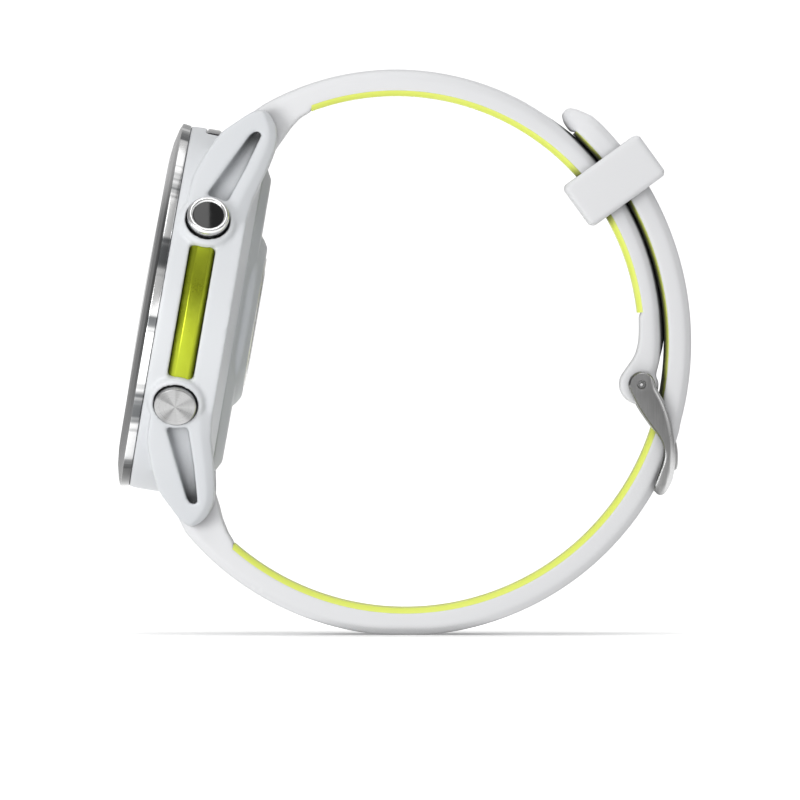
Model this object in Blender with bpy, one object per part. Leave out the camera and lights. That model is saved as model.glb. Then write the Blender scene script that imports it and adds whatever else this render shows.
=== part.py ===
"""GPS running watch, buckled: a round polymer case on a two-part silicone strap.

The case has its own frame (an empty): local X points to 3 o'clock, local Y to 12 o'clock and local Z out of
the crystal. Case shapes are written as (radius from the case axis, height along it). Strap and buckle shapes
are written as (X, Z) in the world, with the strap's width along Y. Every length in this file is in
millimetres and is scaled to metres when a mesh is made.
"""

import math

import bmesh
import bpy
from mathutils import Matrix, Vector

MM = 0.001
COLLECTION = "gps_running_watch"

# Case placement in the world.
CASE_CENTRE = (-31.52, 0.0, 42.11)
CASE_TILT = math.radians(9.9)

# Case proportions.
CASE_STEPS = 48
CAVITY_RADIUS = 19.1
BUTTON_HEIGHT = -4.4
BUTTON_ANGLES = {
    "upper_right": 30,
    "lower_right": -30,
    "upper_left": 150,
    "middle_left": 180,
    "lower_left": 210,
}
BOSS_RADIUS = 3.65
CAP_RADIUS = 2.7
BAR_REACH = 24.0
BAR_HEIGHT = -8.7
LUG_INNER = 11.3
SCREW_ANGLES = (54, 126, 234, 306)

# Strap proportions.
STRAP_HALF = 10.9
LINER_THICK = 0.6
BOND_GAP = 0.04
SHORT_CENTRE = (-1.08, 37.93)
SHORT_IN = 31.1
SHORT_OUT = 34.3
LONG_CENTRE = (0.08, 36.52)
LONG_IN = 33.1
LONG_OUT = 36.52
TAIL_CENTRE = (-2.98, 37.45)
TAIL_IN = 36.3
TAIL_OUT = 39.7
JOIN_ANGLE = -16.9
BUCKLE_PIN = (30.34, 32.06)
KEEPER_ANGLE = 35.6


# ---------------------------------------------------------------- shapes


def revolve(profile, steps):
    """A (radius, height) profile turned round Z: a ring, or a solid with flat ends when it meets the axis."""
    rim = [point for point in profile if point[0] > 0]
    points = []
    for radius, height in rim:
        for i in range(steps):
            angle = 2 * math.pi * i / steps
            points.append((radius * math.cos(angle), radius * math.sin(angle), height))
    if len(rim) < len(profile):
        return points, bridge(steps, len(rim))
    faces = bridge(steps, len(rim))[:-2]
    last = (len(rim) - 1) * steps
    for i in range(steps):
        j = (i + 1) % steps
        faces.append([last + i, last + j, j, i])
    return points, faces


def sweep(section, start, end, steps):
    """A closed (radius, height) section carried round Z between two angles, with flat ends."""
    points = []
    for i in range(steps + 1):
        angle = math.radians(start + (end - start) * i / steps)
        for radius, height in section:
            points.append((radius * math.cos(angle), radius * math.sin(angle), height))
    return points, bridge(len(section), steps + 1)


def bridge(around, rows):
    """Faces joining rows of points, each row closed on itself, with a cap on the first and last."""
    faces = []
    for row in range(rows - 1):
        for k in range(around):
            a = row * around + k
            b = row * around + (k + 1) % around
            faces.append([a, b, b + around, a + around])
    faces.append(list(range(around))[::-1])
    faces.append([(rows - 1) * around + k for k in range(around)])
    return faces


def prism(outline, low, high, put):
    """An outline carried between two offsets. put turns (a, b, offset) into a point."""
    points = []
    for offset in (low, high):
        for a, b in outline:
            points.append(put(a, b, offset(a, b) if callable(offset) else offset))
    return points, bridge(len(outline), 2)


def in_case(along, height, side):
    """A point of the case's side outline: along is local Y, side is local X."""
    return (side, along, height)


def in_world(x, z, y):
    return (x, y, z)


def disc(radius, low, high, steps=24, bevel=0.0):
    """A cylinder on Z, with both rims bevelled when asked."""
    if not bevel:
        return revolve([(0, low), (radius, low), (radius, high), (0, high)], steps)
    profile = [(0, low), (radius - bevel, low), (radius, low + bevel)]
    profile += [(radius, high - bevel), (radius - bevel, high), (0, high)]
    return revolve(profile, steps)


def washer(inner, outer, low, high, steps=24):
    return revolve([(inner, low), (outer, low), (outer, high), (inner, high)], steps)


def moved(shape, matrix):
    points, faces = shape
    return [tuple(matrix @ Vector(p)) for p in points], faces


def oval(half_x, half_y, height, steps=28, power=3.0):
    """Points of a rounded oblong at one height."""
    points = []
    for i in range(steps):
        angle = 2 * math.pi * i / steps
        c, s = math.cos(angle), math.sin(angle)
        x = half_x * math.copysign(abs(c) ** (2 / power), c)
        y = half_y * math.copysign(abs(s) ** (2 / power), s)
        points.append((x, y, height))
    return points


def stack(rows):
    """A solid through rings of points that match one for one."""
    points = [p for row in rows for p in row]
    return points, bridge(len(rows[0]), len(rows))


# ---------------------------------------------------------------- objects


def clear_scene():
    for obj in list(bpy.data.objects):
        bpy.data.objects.remove(obj)


def make_material(name, colour, metallic, roughness):
    material = bpy.data.materials.new(name)
    material.use_nodes = True
    shader = material.node_tree.nodes["Principled BSDF"]
    shader.inputs["Base Color"].default_value = (*colour, 1.0)
    shader.inputs["Metallic"].default_value = metallic
    shader.inputs["Roughness"].default_value = roughness
    return material


def make_solid(shape):
    """An unnamed object for Boolean work, in the case frame or the world."""
    points, faces = shape
    mesh = bpy.data.meshes.new("solid")
    mesh.from_pydata([[c * MM for c in p] for p in points], [], faces)
    clean = bmesh.new()
    clean.from_mesh(mesh)
    bmesh.ops.recalc_face_normals(clean, faces=clean.faces)
    if clean.calc_volume(signed=True) < 0:
        bmesh.ops.reverse_faces(clean, faces=clean.faces)
    clean.to_mesh(mesh)
    clean.free()
    obj = bpy.data.objects.new("solid", mesh)
    bpy.context.scene.collection.objects.link(obj)
    return obj


def boolean(target, shape, operation):
    """Joins a shape to the target, or cuts it away, and keeps only the result."""
    other = make_solid(shape)
    step = target.modifiers.new("step", "BOOLEAN")
    step.operation = operation
    step.solver = "EXACT"
    step.object = other
    graph = bpy.context.evaluated_depsgraph_get()
    result = bpy.data.meshes.new_from_object(target.evaluated_get(graph))
    target.modifiers.clear()
    target.data = result
    bpy.data.objects.remove(other)


def join(target, shape):
    boolean(target, shape, "UNION")


def cut(target, shape):
    boolean(target, shape, "DIFFERENCE")


def finish(obj, name, colour, metallic=0.0, roughness=0.5, frame=None, origin=None):
    """Names a solid, gives it its material and hangs it on its frame or moves its origin to a joint axis."""
    obj.name = name
    obj.data.name = name
    obj.data.materials.clear()
    obj.data.materials.append(make_material(name, colour, metallic, roughness))
    for polygon in obj.data.polygons:
        polygon.material_index = 0
    for collection in list(obj.users_collection):
        collection.objects.unlink(obj)
    bpy.data.collections[COLLECTION].objects.link(obj)
    if frame:
        obj.parent = frame
    if origin:
        shift = Vector((origin[0] * MM, 0.0, origin[1] * MM))
        obj.data.transform(Matrix.Translation(-shift))
        obj.location = shift
    return obj


def make_empty(name, matrix, parent=None):
    empty = bpy.data.objects.new(name, None)
    empty.empty_display_size = 0.005
    bpy.context.scene.collection.objects.link(empty)
    empty.parent = parent
    empty.matrix_local = matrix
    return empty


def case_matrix():
    """Columns are the case's 3 o'clock, 12 o'clock and crystal directions in the world."""
    s, c = math.sin(CASE_TILT), math.cos(CASE_TILT)
    turn = Matrix(((0, s, -c), (-1, 0, 0), (0, c, s))).to_4x4()
    return Matrix.Translation(Vector(CASE_CENTRE) * MM) @ turn


def case_point(along, height):
    """World (X, Z) of a point of the case's side outline."""
    s, c = math.sin(CASE_TILT), math.cos(CASE_TILT)
    return (CASE_CENTRE[0] + along * s - height * c, CASE_CENTRE[2] + along * c + height * s)


def button_turn(angle):
    """Turns a shape made on Z so that it points out of the case wall at an angle from 3 o'clock."""
    lift = Matrix.Translation((0, 0, BUTTON_HEIGHT))
    return lift @ Matrix.Rotation(math.radians(angle), 4, "Z") @ Matrix.Rotation(math.pi / 2, 4, "Y")


# ---------------------------------------------------------------- case


def lug_face(along, height):
    """Distance of a lug's sloping outer face from the case's middle plane."""
    return 20.2 - (abs(along) - 13.0) * 0.45


def recess_floor(along, height):
    return lug_face(along, height) - 1.5


def recess_mouth(along, height):
    """Outside the lug's face, so that the recess is open."""
    return lug_face(along, height) + 3.0


def lug_outline():
    front = [(12.0, -1.5), (16.9, -1.5), (20.5, -2.75), (23.3, -4.1), (25.2, -6.1), (26.4, -7.35)]
    tip = [(27.0, -8.3), (27.1, -9.1), (26.6, -9.9), (25.2, -11.0), (23.4, -11.4)]
    back = [(22.0, -11.25), (19.3, -10.7), (15.2, -9.5), (12.0, -9.25)]
    return front + tip + back


def recess_outline():
    return [(15.3, -3.75), (15.3, -6.4), (22.9, -9.15), (23.6, -9.1), (24.0, -8.5), (23.5, -7.95)]


def root_space():
    """Side outline of the room between two lugs for the strap's root."""
    points = []
    for i in range(9):
        angle = math.radians(80 + 130 * i / 8)
        points.append((BAR_REACH + 3.1 * math.cos(angle), BAR_HEIGHT + 3.1 * math.sin(angle)))
    points += [(20.75, -10.25), (20.75, -13.0), (31.0, -13.0), (31.0, -5.6)]
    return points


def make_main_case(frame):
    wall = [(0, -10.35), (20.2, -10.35), (23.35, -9.25), (23.4, -6.4), (23.5, -2.3)]
    wall += [(23.35, -0.75), (22.9, -0.45), (0, -0.45)]
    case = make_solid(revolve(wall, CASE_STEPS))
    for side in (1, -1):
        for end in (1, -1):
            def put(along, height, reach, side=side, end=end):
                return (side * reach, end * along, height)

            join(case, prism(lug_outline(), 11.0, lug_face, put))
            cut(case, prism(recess_outline(), recess_floor, recess_mouth, put))
    cut(case, sweep([(22.05, -6.2), (25.0, -6.2), (25.0, -2.6), (22.05, -2.6)], -24, 24, 10))
    cut(case, sweep([(22.35, -4.2), (25.0, -4.2), (25.0, -2.3), (22.35, -2.3)], 77, 103, 6))
    for angle in BUTTON_ANGLES.values():
        boss = [(0, 21.0), (BOSS_RADIUS, 21.0), (BOSS_RADIUS, 23.8), (BOSS_RADIUS - 0.3, 24.1), (0, 24.1)]
        join(case, moved(revolve(boss, 24), button_turn(angle)))
    cavity = [(0, -13), (CAVITY_RADIUS, -13), (CAVITY_RADIUS, -2.0), (20.6, -2.0), (20.6, 1.0), (0, 1.0)]
    cut(case, revolve(cavity, CASE_STEPS))
    for angle in BUTTON_ANGLES.values():
        bore = [(0, 17.0), (1.6, 17.0), (1.6, 22.0), (2.95, 22.0), (2.95, 26.0), (0, 26.0)]
        cut(case, moved(revolve(bore, 18), button_turn(angle)))
    for end in (1, -1):
        def put(along, height, reach, end=end):
            return (reach, end * along, height)

        cut(case, prism(root_space(), -LUG_INNER, LUG_INNER, put))
        hole = moved(disc(0.6, -13.1, 13.1, 16), Matrix.Rotation(math.pi / 2, 4, "Y"))
        cut(case, moved(hole, Matrix.Translation((0, end * BAR_REACH, BAR_HEIGHT))))
    for angle in SCREW_ANGLES:
        a = math.radians(angle)
        place = Matrix.Translation((17.4 * math.cos(a), 17.4 * math.sin(a), 0))
        join(case, moved(disc(2.0, -9.45, -5.0, 12), place))
        hole = Matrix.Translation((17.0 * math.cos(a), 17.0 * math.sin(a), 0))
        cut(case, moved(disc(0.8, -11.0, -6.4, 10), hole))
    finish(case, "main_case", (0.80, 0.82, 0.83), 0.0, 0.42, frame)


def make_front(frame):
    ring = [(17.4, -1.7), (20.3, -1.7), (20.3, -0.15), (23.5, -0.15), (23.6, 0.75), (22.75, 1.2)]
    ring += [(21.0, 1.66), (19.0, 1.88), (18.5, 1.9), (18.5, 0.1), (17.4, 0.1)]
    finish(make_solid(revolve(ring, CASE_STEPS)), "bezel_ring", (0.62, 0.62, 0.63), 1.0, 0.28, frame)
    glass = [(0, 0.4), (18.25, 0.4), (18.25, 1.6), (18.1, 1.75), (0, 1.75)]
    finish(make_solid(revolve(glass, 48)), "crystal", (0.02, 0.02, 0.025), 0.0, 0.05, frame)
    finish(make_solid(disc(17.1, -1.7, 0.1, 48)), "display_module", (0.01, 0.01, 0.012), 0.0, 0.3, frame)
    bar = [(22.3, -5.85), (22.95, -6.0), (23.5, -5.45), (23.5, -3.3), (22.95, -2.8), (22.3, -2.95)]
    accent = make_solid(sweep(bar, -24, 24, 16))
    for angle in (30, -30):
        cut(accent, moved(disc(BOSS_RADIUS + 0.2, 20.0, 26.0, 32), button_turn(angle)))
    finish(accent, "accent_panel", (0.72, 0.83, 0.03), 1.0, 0.22, frame)
    lens = [(22.55, -4.05), (23.5, -4.05), (23.75, -3.85), (23.75, -2.65), (23.5, -2.45), (22.55, -2.45)]
    finish(make_solid(sweep(lens, 77.6, 102.4, 8)), "flashlight_lens", (0.03, 0.03, 0.035), 0.0, 0.1, frame)


def make_back(frame):
    rim = [(0, -9.75), (18.8, -9.75), (18.8, -9.9), (17.9, -9.9), (17.9, -10.35), (18.8, -10.35)]
    rim += [(18.8, -10.6), (19.55, -10.65), (18.3, -11.45), (0, -11.45)]
    cover = make_solid(revolve(rim, 40))
    pad = [oval(19.2, 11.0, -10.9), oval(19.2, 11.0, -11.5), oval(18.2, 9.95, -12.3), oval(17.9, 9.7, -12.45)]
    join(cover, stack(pad))
    cut(cover, stack([oval(16.6, 8.6, -11.3), oval(16.6, 8.6, -13.0)]))
    for angle in SCREW_ANGLES:
        a = math.radians(angle)
        seat = [(0, -9.0), (0.8, -9.0), (0.8, -10.7), (1.3, -10.7), (1.3, -12.0), (0, -12.0)]
        place = Matrix.Translation((17.0 * math.cos(a), 17.0 * math.sin(a), 0))
        cut(cover, moved(revolve(seat, 12), place))
    for i in range(4):
        place = Matrix.Translation((-3.0 + 2.0 * i, -14.6, 0))
        cut(cover, moved(disc(0.85, -12.0, -9.0, 10), place))
    finish(cover, "back_cover", (0.56, 0.58, 0.59), 0.0, 0.45, frame)
    glass = stack([oval(14.9, 6.9, -11.5), oval(14.9, 6.9, -12.6), oval(14.7, 6.7, -12.7)])
    finish(make_solid(glass), "sensor_window", (0.01, 0.01, 0.012), 0.0, 0.06, frame)
    ring = make_solid(stack([oval(16.4, 8.4, -11.5), oval(16.4, 8.4, -12.5), oval(16.2, 8.2, -12.6)]))
    cut(ring, stack([oval(15.1, 7.1, -11.0), oval(15.1, 7.1, -13.0)]))
    finish(ring, "contact_ring", (0.5, 0.5, 0.52), 1.0, 0.25, frame)
    finish(make_solid(disc(9.5, -9.4, -8.7)), "sensor_board", (0.03, 0.12, 0.06), 0.0, 0.5, frame)
    gasket = washer(18.05, 18.95, -10.25, -10.0, 36)
    finish(make_solid(gasket), "back_gasket", (0.05, 0.05, 0.05), 0.0, 0.8, frame)
    for i in range(4):
        pad = moved(disc(0.65, -11.4, -9.9, 10, 0.08), Matrix.Translation((-3.0 + 2.0 * i, -14.6, 0)))
        finish(make_solid(pad), f"charging_contact_{i + 1}", (0.85, 0.65, 0.25), 1.0, 0.25, frame)
    for number, angle in enumerate(SCREW_ANGLES, 1):
        a = math.radians(angle)
        screw = [(0, -7.0), (0.6, -7.0), (0.6, -10.85), (1.1, -10.85), (1.1, -11.35), (0, -11.35)]
        place = Matrix.Translation((17.0 * math.cos(a), 17.0 * math.sin(a), 0))
        solid = make_solid(moved(revolve(screw, 12), place))
        cut(solid, moved(disc(0.5, -12.0, -11.1, 6), place))
        finish(solid, f"back_screw_{number}", (0.45, 0.45, 0.47), 1.0, 0.3, frame)


def make_insides(frame):
    finish(make_solid(disc(16.5, -3.1, -2.3, 32)), "main_board", (0.02, 0.15, 0.06), 0.0, 0.5, frame)
    finish(make_solid(disc(11.3, -8.3, -3.5, 32, 0.4)), "battery", (0.45, 0.46, 0.48), 1.0, 0.4, frame)
    motor = moved(disc(3.0, -8.0, -4.6, 20, 0.2), Matrix.Translation((0, -15.0, 0)))
    finish(make_solid(motor), "vibration_motor", (0.6, 0.6, 0.62), 1.0, 0.3, frame)
    speaker = moved(disc(3.0, -8.0, -5.4, 20, 0.3), Matrix.Translation((0, 15.0, 0)))
    finish(make_solid(speaker), "speaker", (0.08, 0.08, 0.09), 0.0, 0.6, frame)
    antenna = [(17.3, -3.4), (18.6, -3.4), (18.6, -2.3), (17.3, -2.3)]
    finish(make_solid(sweep(antenna, 62, 118, 12)), "gps_antenna", (0.75, 0.5, 0.2), 1.0, 0.35, frame)
    strip = [(17.0, -6.2), (17.3, -6.2), (17.3, -3.6), (17.0, -3.6)]
    for name, start, end in (("switch_flex_right", -42, 42), ("switch_flex_left", 138, 222)):
        finish(make_solid(sweep(strip, start, end, 10)), name, (0.6, 0.3, 0.05), 0.0, 0.5, frame)


# ---------------------------------------------------------------- buttons


def wave_washer(inner, outer, low, high, steps=18):
    """A thin ring whose surface waves three times round between two heights."""
    rows = []
    thick = 0.2
    swing = (high - low - thick) / 2
    for i in range(steps):
        angle = 2 * math.pi * i / steps
        middle = (low + high) / 2 + swing * math.sin(3 * angle)
        c, s = math.cos(angle), math.sin(angle)
        for radius, lift in ((inner, -1), (outer, -1), (outer, 1), (inner, 1)):
            rows.append((radius * c, radius * s, middle + lift * thick / 2))
    faces = []
    for i in range(steps):
        for k in range(4):
            a, b = 4 * i + k, 4 * i + (k + 1) % 4
            shift = 4 if i < steps - 1 else -4 * (steps - 1)
            faces.append([a, b, b + shift, a + shift])
    return rows, faces


def make_button(name, angle, frame):
    """A cap on a stem, with its wave spring, seal and retaining clip, all on one axis."""
    axis = make_empty(name + "_axis", Matrix.LocRotScale(
        Vector((0, 0, BUTTON_HEIGHT * MM)), button_turn(angle).to_quaternion(), None), frame)
    stem = [(0, 17.95), (0.85, 17.95), (1.0, 18.1), (1.0, 23.2), (CAP_RADIUS - 0.1, 23.2)]
    if name == "upper_right":
        cap = [(CAP_RADIUS, 23.3), (CAP_RADIUS, 24.35), (2.45, 24.7), (2.1, 24.8), (2.05, 24.3), (0, 24.3)]
        inset = disc(1.95, 24.35, 24.72, 22)
        finish(make_solid(inset), name + "_button_inset", (0.01, 0.01, 0.01), 0.0, 0.05, axis)
    else:
        top = 24.55 if name == "middle_left" else 24.75
        cap = [(CAP_RADIUS, 23.3), (CAP_RADIUS, top - 0.15), (CAP_RADIUS - 0.15, top), (0, top)]
    finish(make_solid(revolve(stem + cap, 22)), name + "_button", (0.6, 0.6, 0.6), 1.0, 0.25, axis)
    spring = wave_washer(1.5, 2.4, 22.1, 23.1)
    finish(make_solid(spring), name + "_spring", (0.5, 0.5, 0.5), 1.0, 0.3, axis)
    finish(make_solid(washer(1.1, 1.5, 20.4, 21.0, 14)), name + "_seal", (0.04, 0.04, 0.04), 0.0, 0.8, axis)
    finish(make_solid(washer(1.1, 2.1, 18.45, 18.75, 14)), name + "_clip", (0.5, 0.5, 0.5), 1.0, 0.3, axis)


# ---------------------------------------------------------------- straps


def on_circle(centre, radius, angle):
    a = math.radians(angle)
    return (centre[0] + radius * math.cos(a), centre[1] + radius * math.sin(a))


def strap_row(inner, outer, half, edge_in=0.15, edge_out=0.9):
    """One cross-section of a strap: flat inside, chamfered towards its outer face."""
    span = math.dist(inner, outer)
    edge_in = min(edge_in, span * 0.2)
    edge_out = min(edge_out, span * 0.35)

    def at(share, y):
        return (inner[0] + (outer[0] - inner[0]) * share, y, inner[1] + (outer[1] - inner[1]) * share)

    low, high = edge_in / span, 1 - edge_out / span
    slope = edge_out * 0.8
    row = [at(0, -half + edge_in), at(0, half - edge_in), at(low, half), at(high, half)]
    row += [at(1, half - slope), at(1, -half + slope), at(high, -half), at(low, -half)]
    return row


def root_rows(bar, along, out, bulge):
    """Cross-sections of the rounded root, from its nose back to the spring bar."""
    rows = []
    for angle in (12, 35, 60, 90):
        a = math.radians(angle)
        back, side = -math.cos(a), math.sin(a)
        inner = 2.6 + (bulge if angle == 90 else 0.0)
        outer_point = [bar[k] + 2.6 * (back * along[k] + side * out[k]) for k in (0, 1)]
        inner_point = [bar[k] + inner * (back * along[k] - side * out[k]) for k in (0, 1)]
        rows.append(strap_row(inner_point, outer_point, STRAP_HALF))
    return rows


def short_out(angle):
    """Outer radius of the buckle strap, a little thinner where the tail lies over it."""
    if angle > 60:
        return SHORT_OUT
    return SHORT_OUT - 0.45 * min(1.0, (60 - angle) / 50)


def make_short_strap():
    bar = case_point(BAR_REACH, BAR_HEIGHT)
    start = math.degrees(math.atan2(bar[1] - SHORT_CENTRE[1], bar[0] - SHORT_CENTRE[0]))
    a = math.radians(start)
    out = (math.cos(a), math.sin(a))
    along = (math.sin(a), -math.cos(a))
    rows = root_rows(bar, along, out, 0.7)
    for angle, inner in ((119.5, 29.4), (116.5, 30.2), (113.5, 30.85), (110.6, SHORT_IN)):
        inner_point = on_circle(SHORT_CENTRE, inner, angle)
        rows.append(strap_row(inner_point, on_circle(SHORT_CENTRE, SHORT_OUT, angle), STRAP_HALF))
    bonded = SHORT_IN + LINER_THICK + BOND_GAP
    for i in range(19):
        angle = 110.0 + (5.8 - 110.0) * i / 18
        rows.append(strap_row(on_circle(SHORT_CENTRE, bonded, angle),
                              on_circle(SHORT_CENTRE, short_out(angle), angle), STRAP_HALF))
    neck = [((30.1, 40.8), 5.0), ((30.12, 38.6), 0.6), ((29.95, 37.0), -2.2), ((29.45, 35.5), -4.8)]
    for inner, angle in neck:
        rows.append(strap_row(inner, on_circle(SHORT_CENTRE, short_out(angle), angle), STRAP_HALF))
    boss = (30.05, 32.0)
    for turn_in, turn_out in ((140, 30), (165, 8), (195, -22), (225, -52), (245, -75), (257, -88)):
        rows.append(strap_row(on_circle(boss, 2.5, turn_in), on_circle(boss, 2.5, turn_out), STRAP_HALF))
    strap = make_solid((sum(rows, []), bridge(8, len(rows))))
    cut(strap, bar_bore(bar, 0.9))
    cut(strap, bar_bore(BUCKLE_PIN, 0.8))
    fork = [(27.0, 28.5), (33.5, 28.5), (33.5, 32.4), (32.4, 34.3), (27.0, 34.3)]
    cut(strap, prism(fork, -1.4, 1.4, in_world))
    cut(strap, lever_slot(bar, along, out))
    finish(strap, "short_strap", (0.78, 0.79, 0.80), 0.0, 0.6, origin=bar)
    liner = []
    for i in range(19):
        angle = 109.8 + (6.1 - 109.8) * i / 18
        liner.append(strap_row(on_circle(SHORT_CENTRE, SHORT_IN, angle),
                               on_circle(SHORT_CENTRE, SHORT_IN + LINER_THICK, angle), STRAP_HALF, 0.1, 0.0))
    lining = make_solid((sum(liner, []), bridge(8, len(liner))))
    finish(lining, "short_strap_liner", (0.72, 0.85, 0.08), 0.0, 0.55, origin=bar)
    make_bar_and_lever("upper", bar, along, out)


def bar_bore(point, radius):
    along_y = moved(disc(radius, -15, 15, 24), Matrix.Rotation(math.pi / 2, 4, "X"))
    return moved(along_y, Matrix.Translation((point[0], 0, point[1])))


def lever_slot(bar, along, out):
    """Side outline of the slot under the spring bar, cut from the wrist side for the release lever."""
    corners = ((-0.75, -4.5), (0.75, -4.5), (0.75, 0.0), (-0.75, 0.0))
    outline = [tuple(bar[k] + a * along[k] + b * out[k] for k in (0, 1)) for a, b in corners]
    return prism(outline, -9.0, -4.0, in_world)


def make_bar_and_lever(name, bar, along, out):
    bar_profile = [(0, -12.4), (0.45, -12.4), (0.45, -11.0), (0.75, -11.0)]
    bar_profile += [(0.75, 11.0), (0.45, 11.0), (0.45, 12.4), (0, 12.4)]
    solid = moved(revolve(bar_profile, 20), Matrix.Rotation(math.pi / 2, 4, "X"))
    solid = moved(solid, Matrix.Translation((bar[0], 0, bar[1])))
    finish(make_solid(solid), name + "_spring_bar", (0.55, 0.55, 0.56), 1.0, 0.3, origin=bar)
    corners = ((-0.5, -3.6), (0.5, -3.6), (0.5, -1.0), (-0.5, -1.0))
    outline = [tuple(bar[k] + a * along[k] + b * out[k] for k in (0, 1)) for a, b in corners]
    lever = prism(outline, -8.6, -6.6, in_world)
    finish(make_solid(lever), name + "_release_lever", (0.55, 0.55, 0.56), 1.0, 0.3, origin=bar)


def tail_half(angle):
    """Half the tail's width, rounded in towards its tip."""
    if angle < 43:
        return STRAP_HALF
    share = min(1.0, (angle - 43) / 9.0)
    return STRAP_HALF - 5.0 * (1 - math.sqrt(1 - 0.98 * share * share))


def tongue_outline(grow):
    """Side outline of the buckle's tongue. grow widens it for the slot that it lies in."""
    outer = [(31.6, 31.6), (33.0, 29.2), (34.15, 26.9), (34.75, 25.2)]
    outer += [(35.05, 23.6), (35.1, 22.2), (34.95, 21.2)]
    inner = [(34.45, 21.1), (34.2, 22.4), (33.75, 23.8), (32.9, 25.6)]
    inner += [(31.6, 27.6), (30.0, 29.8), (29.3, 31.2)]
    outline = []
    for x, z in outer:
        outline.append((x + grow, z + grow * 0.5))
    for x, z in inner:
        outline.append((x - grow, z - grow * 0.5))
    return outline


def make_long_strap():
    bar = case_point(-BAR_REACH, BAR_HEIGHT)
    start = math.degrees(math.atan2(bar[1] - LONG_CENTRE[1], bar[0] - LONG_CENTRE[0]))
    a = math.radians(start)
    out = (math.cos(a), math.sin(a))
    along = (-math.sin(a), math.cos(a))
    rows = root_rows(bar, along, out, 0.55)
    for angle, inner in ((-140.2, 31.1), (-137.0, 32.0), (-134.0, 32.7), (-131.6, LONG_IN)):
        rows.append(strap_row(on_circle(LONG_CENTRE, inner, angle), on_circle(LONG_CENTRE, LONG_OUT, angle),
                              STRAP_HALF))
    bonded = LINER_THICK + BOND_GAP
    liner = []
    for i in range(21):
        angle = -131.0 + (JOIN_ANGLE + 131.0) * i / 20
        rows.append(strap_row(on_circle(LONG_CENTRE, LONG_IN + bonded, angle),
                              on_circle(LONG_CENTRE, LONG_OUT, angle), STRAP_HALF))
        liner.append(strap_row(on_circle(LONG_CENTRE, LONG_IN, angle),
                               on_circle(LONG_CENTRE, LONG_IN + LINER_THICK, angle), STRAP_HALF, 0.1, 0.0))
    for i in range(1, 12):
        angle = JOIN_ANGLE + (46.0 - JOIN_ANGLE) * i / 11
        half = tail_half(angle)
        rows.append(strap_row(on_circle(TAIL_CENTRE, TAIL_IN + bonded, angle),
                              on_circle(TAIL_CENTRE, TAIL_OUT, angle), half))
        liner.append(strap_row(on_circle(TAIL_CENTRE, TAIL_IN, angle),
                               on_circle(TAIL_CENTRE, TAIL_IN + LINER_THICK, angle), half, 0.1, 0.0))
    tip = ((46.6, 36.3, 39.68), (48.5, 36.35, 39.3), (50.4, 36.7, 38.85), (51.6, 37.3, 38.3))
    for angle, low, high in tip:
        rows.append(strap_row(on_circle(TAIL_CENTRE, low, angle), on_circle(TAIL_CENTRE, high, angle),
                              tail_half(angle)))
    strap = make_solid((sum(rows, []), bridge(8, len(rows))))
    lining = make_solid((sum(liner, []), bridge(8, len(liner))))
    cut(strap, bar_bore(bar, 0.9))
    cut(strap, lever_slot(bar, along, out))
    slot = prism(tongue_outline(0.35), -1.35, 1.35, in_world)
    cut(strap, slot)
    cut(lining, slot)
    for hole in hole_cutters():
        cut(strap, hole)
        cut(lining, hole)
    finish(strap, "long_strap", (0.78, 0.79, 0.80), 0.0, 0.6, origin=bar)
    finish(lining, "long_strap_liner", (0.72, 0.85, 0.08), 0.0, 0.55, origin=bar)
    make_bar_and_lever("lower", bar, along, out)


def hole_cutters():
    """Oval strap holes, six millimetres apart, on both sides of the one that the tongue is in."""
    holes = []
    places = [(TAIL_CENTRE, 38.0, angle) for angle in (40.0, 31.0, 22.0, 13.0, 4.0, -5.0)]
    places += [(LONG_CENTRE, 34.8, angle) for angle in (-34.0, -43.5, -53.0, -62.5, -72.0, -81.5)]
    for centre, radius, angle in places:
        outline = []
        for i in range(8):
            turn = 2 * math.pi * i / 8
            outline.append((1.7 * math.cos(turn), 1.2 * math.sin(turn)))
        a = math.radians(angle)
        out = Vector((math.cos(a), 0, math.sin(a)))
        along = Vector((-math.sin(a), 0, math.cos(a)))
        middle = Vector((centre[0], 0, centre[1])) + radius * out

        def put(u, v, w, out=out, along=along, middle=middle):
            return tuple(middle + u * along + v * Vector((0, 1, 0)) + w * out)

        holes.append(prism(outline, -4.0, 4.0, put))
    return holes


def make_keeper():
    """A squared loop round both straps."""
    a = math.radians(KEEPER_ANGLE)
    out = Vector((math.cos(a), 0, math.sin(a)))
    along = Vector((-math.sin(a), 0, math.cos(a)))
    middle = Vector((SHORT_CENTRE[0], 0, SHORT_CENTRE[1]))

    def loop(low, high, half, reach, edge):
        """A bar along the strap with its four long edges and both ends bevelled."""
        rows = []
        for along_by, shrink in ((-reach, edge), (-reach + edge, 0), (reach - edge, 0), (reach, edge)):
            row = []
            lo, hi, y = low + shrink, high - shrink, half - shrink
            for u, v in ((lo + edge, -y), (hi - edge, -y), (hi, -y + edge), (hi, y - edge),
                         (hi - edge, y), (lo + edge, y), (lo, y - edge), (lo, -y + edge)):
                row.append(tuple(middle + u * out + Vector((0, v, 0)) + along_by * along))
            rows.append(row)
        return stack(rows)

    keeper = make_solid(loop(28.8, 40.2, 13.1, 2.9, 0.55))
    cut(keeper, loop(30.5, 38.45, 11.35, 8.0, 0.2))
    finish(keeper, "strap_keeper", (0.78, 0.79, 0.80), 0.0, 0.6, origin=SHORT_CENTRE)


# ---------------------------------------------------------------- buckle


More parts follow.
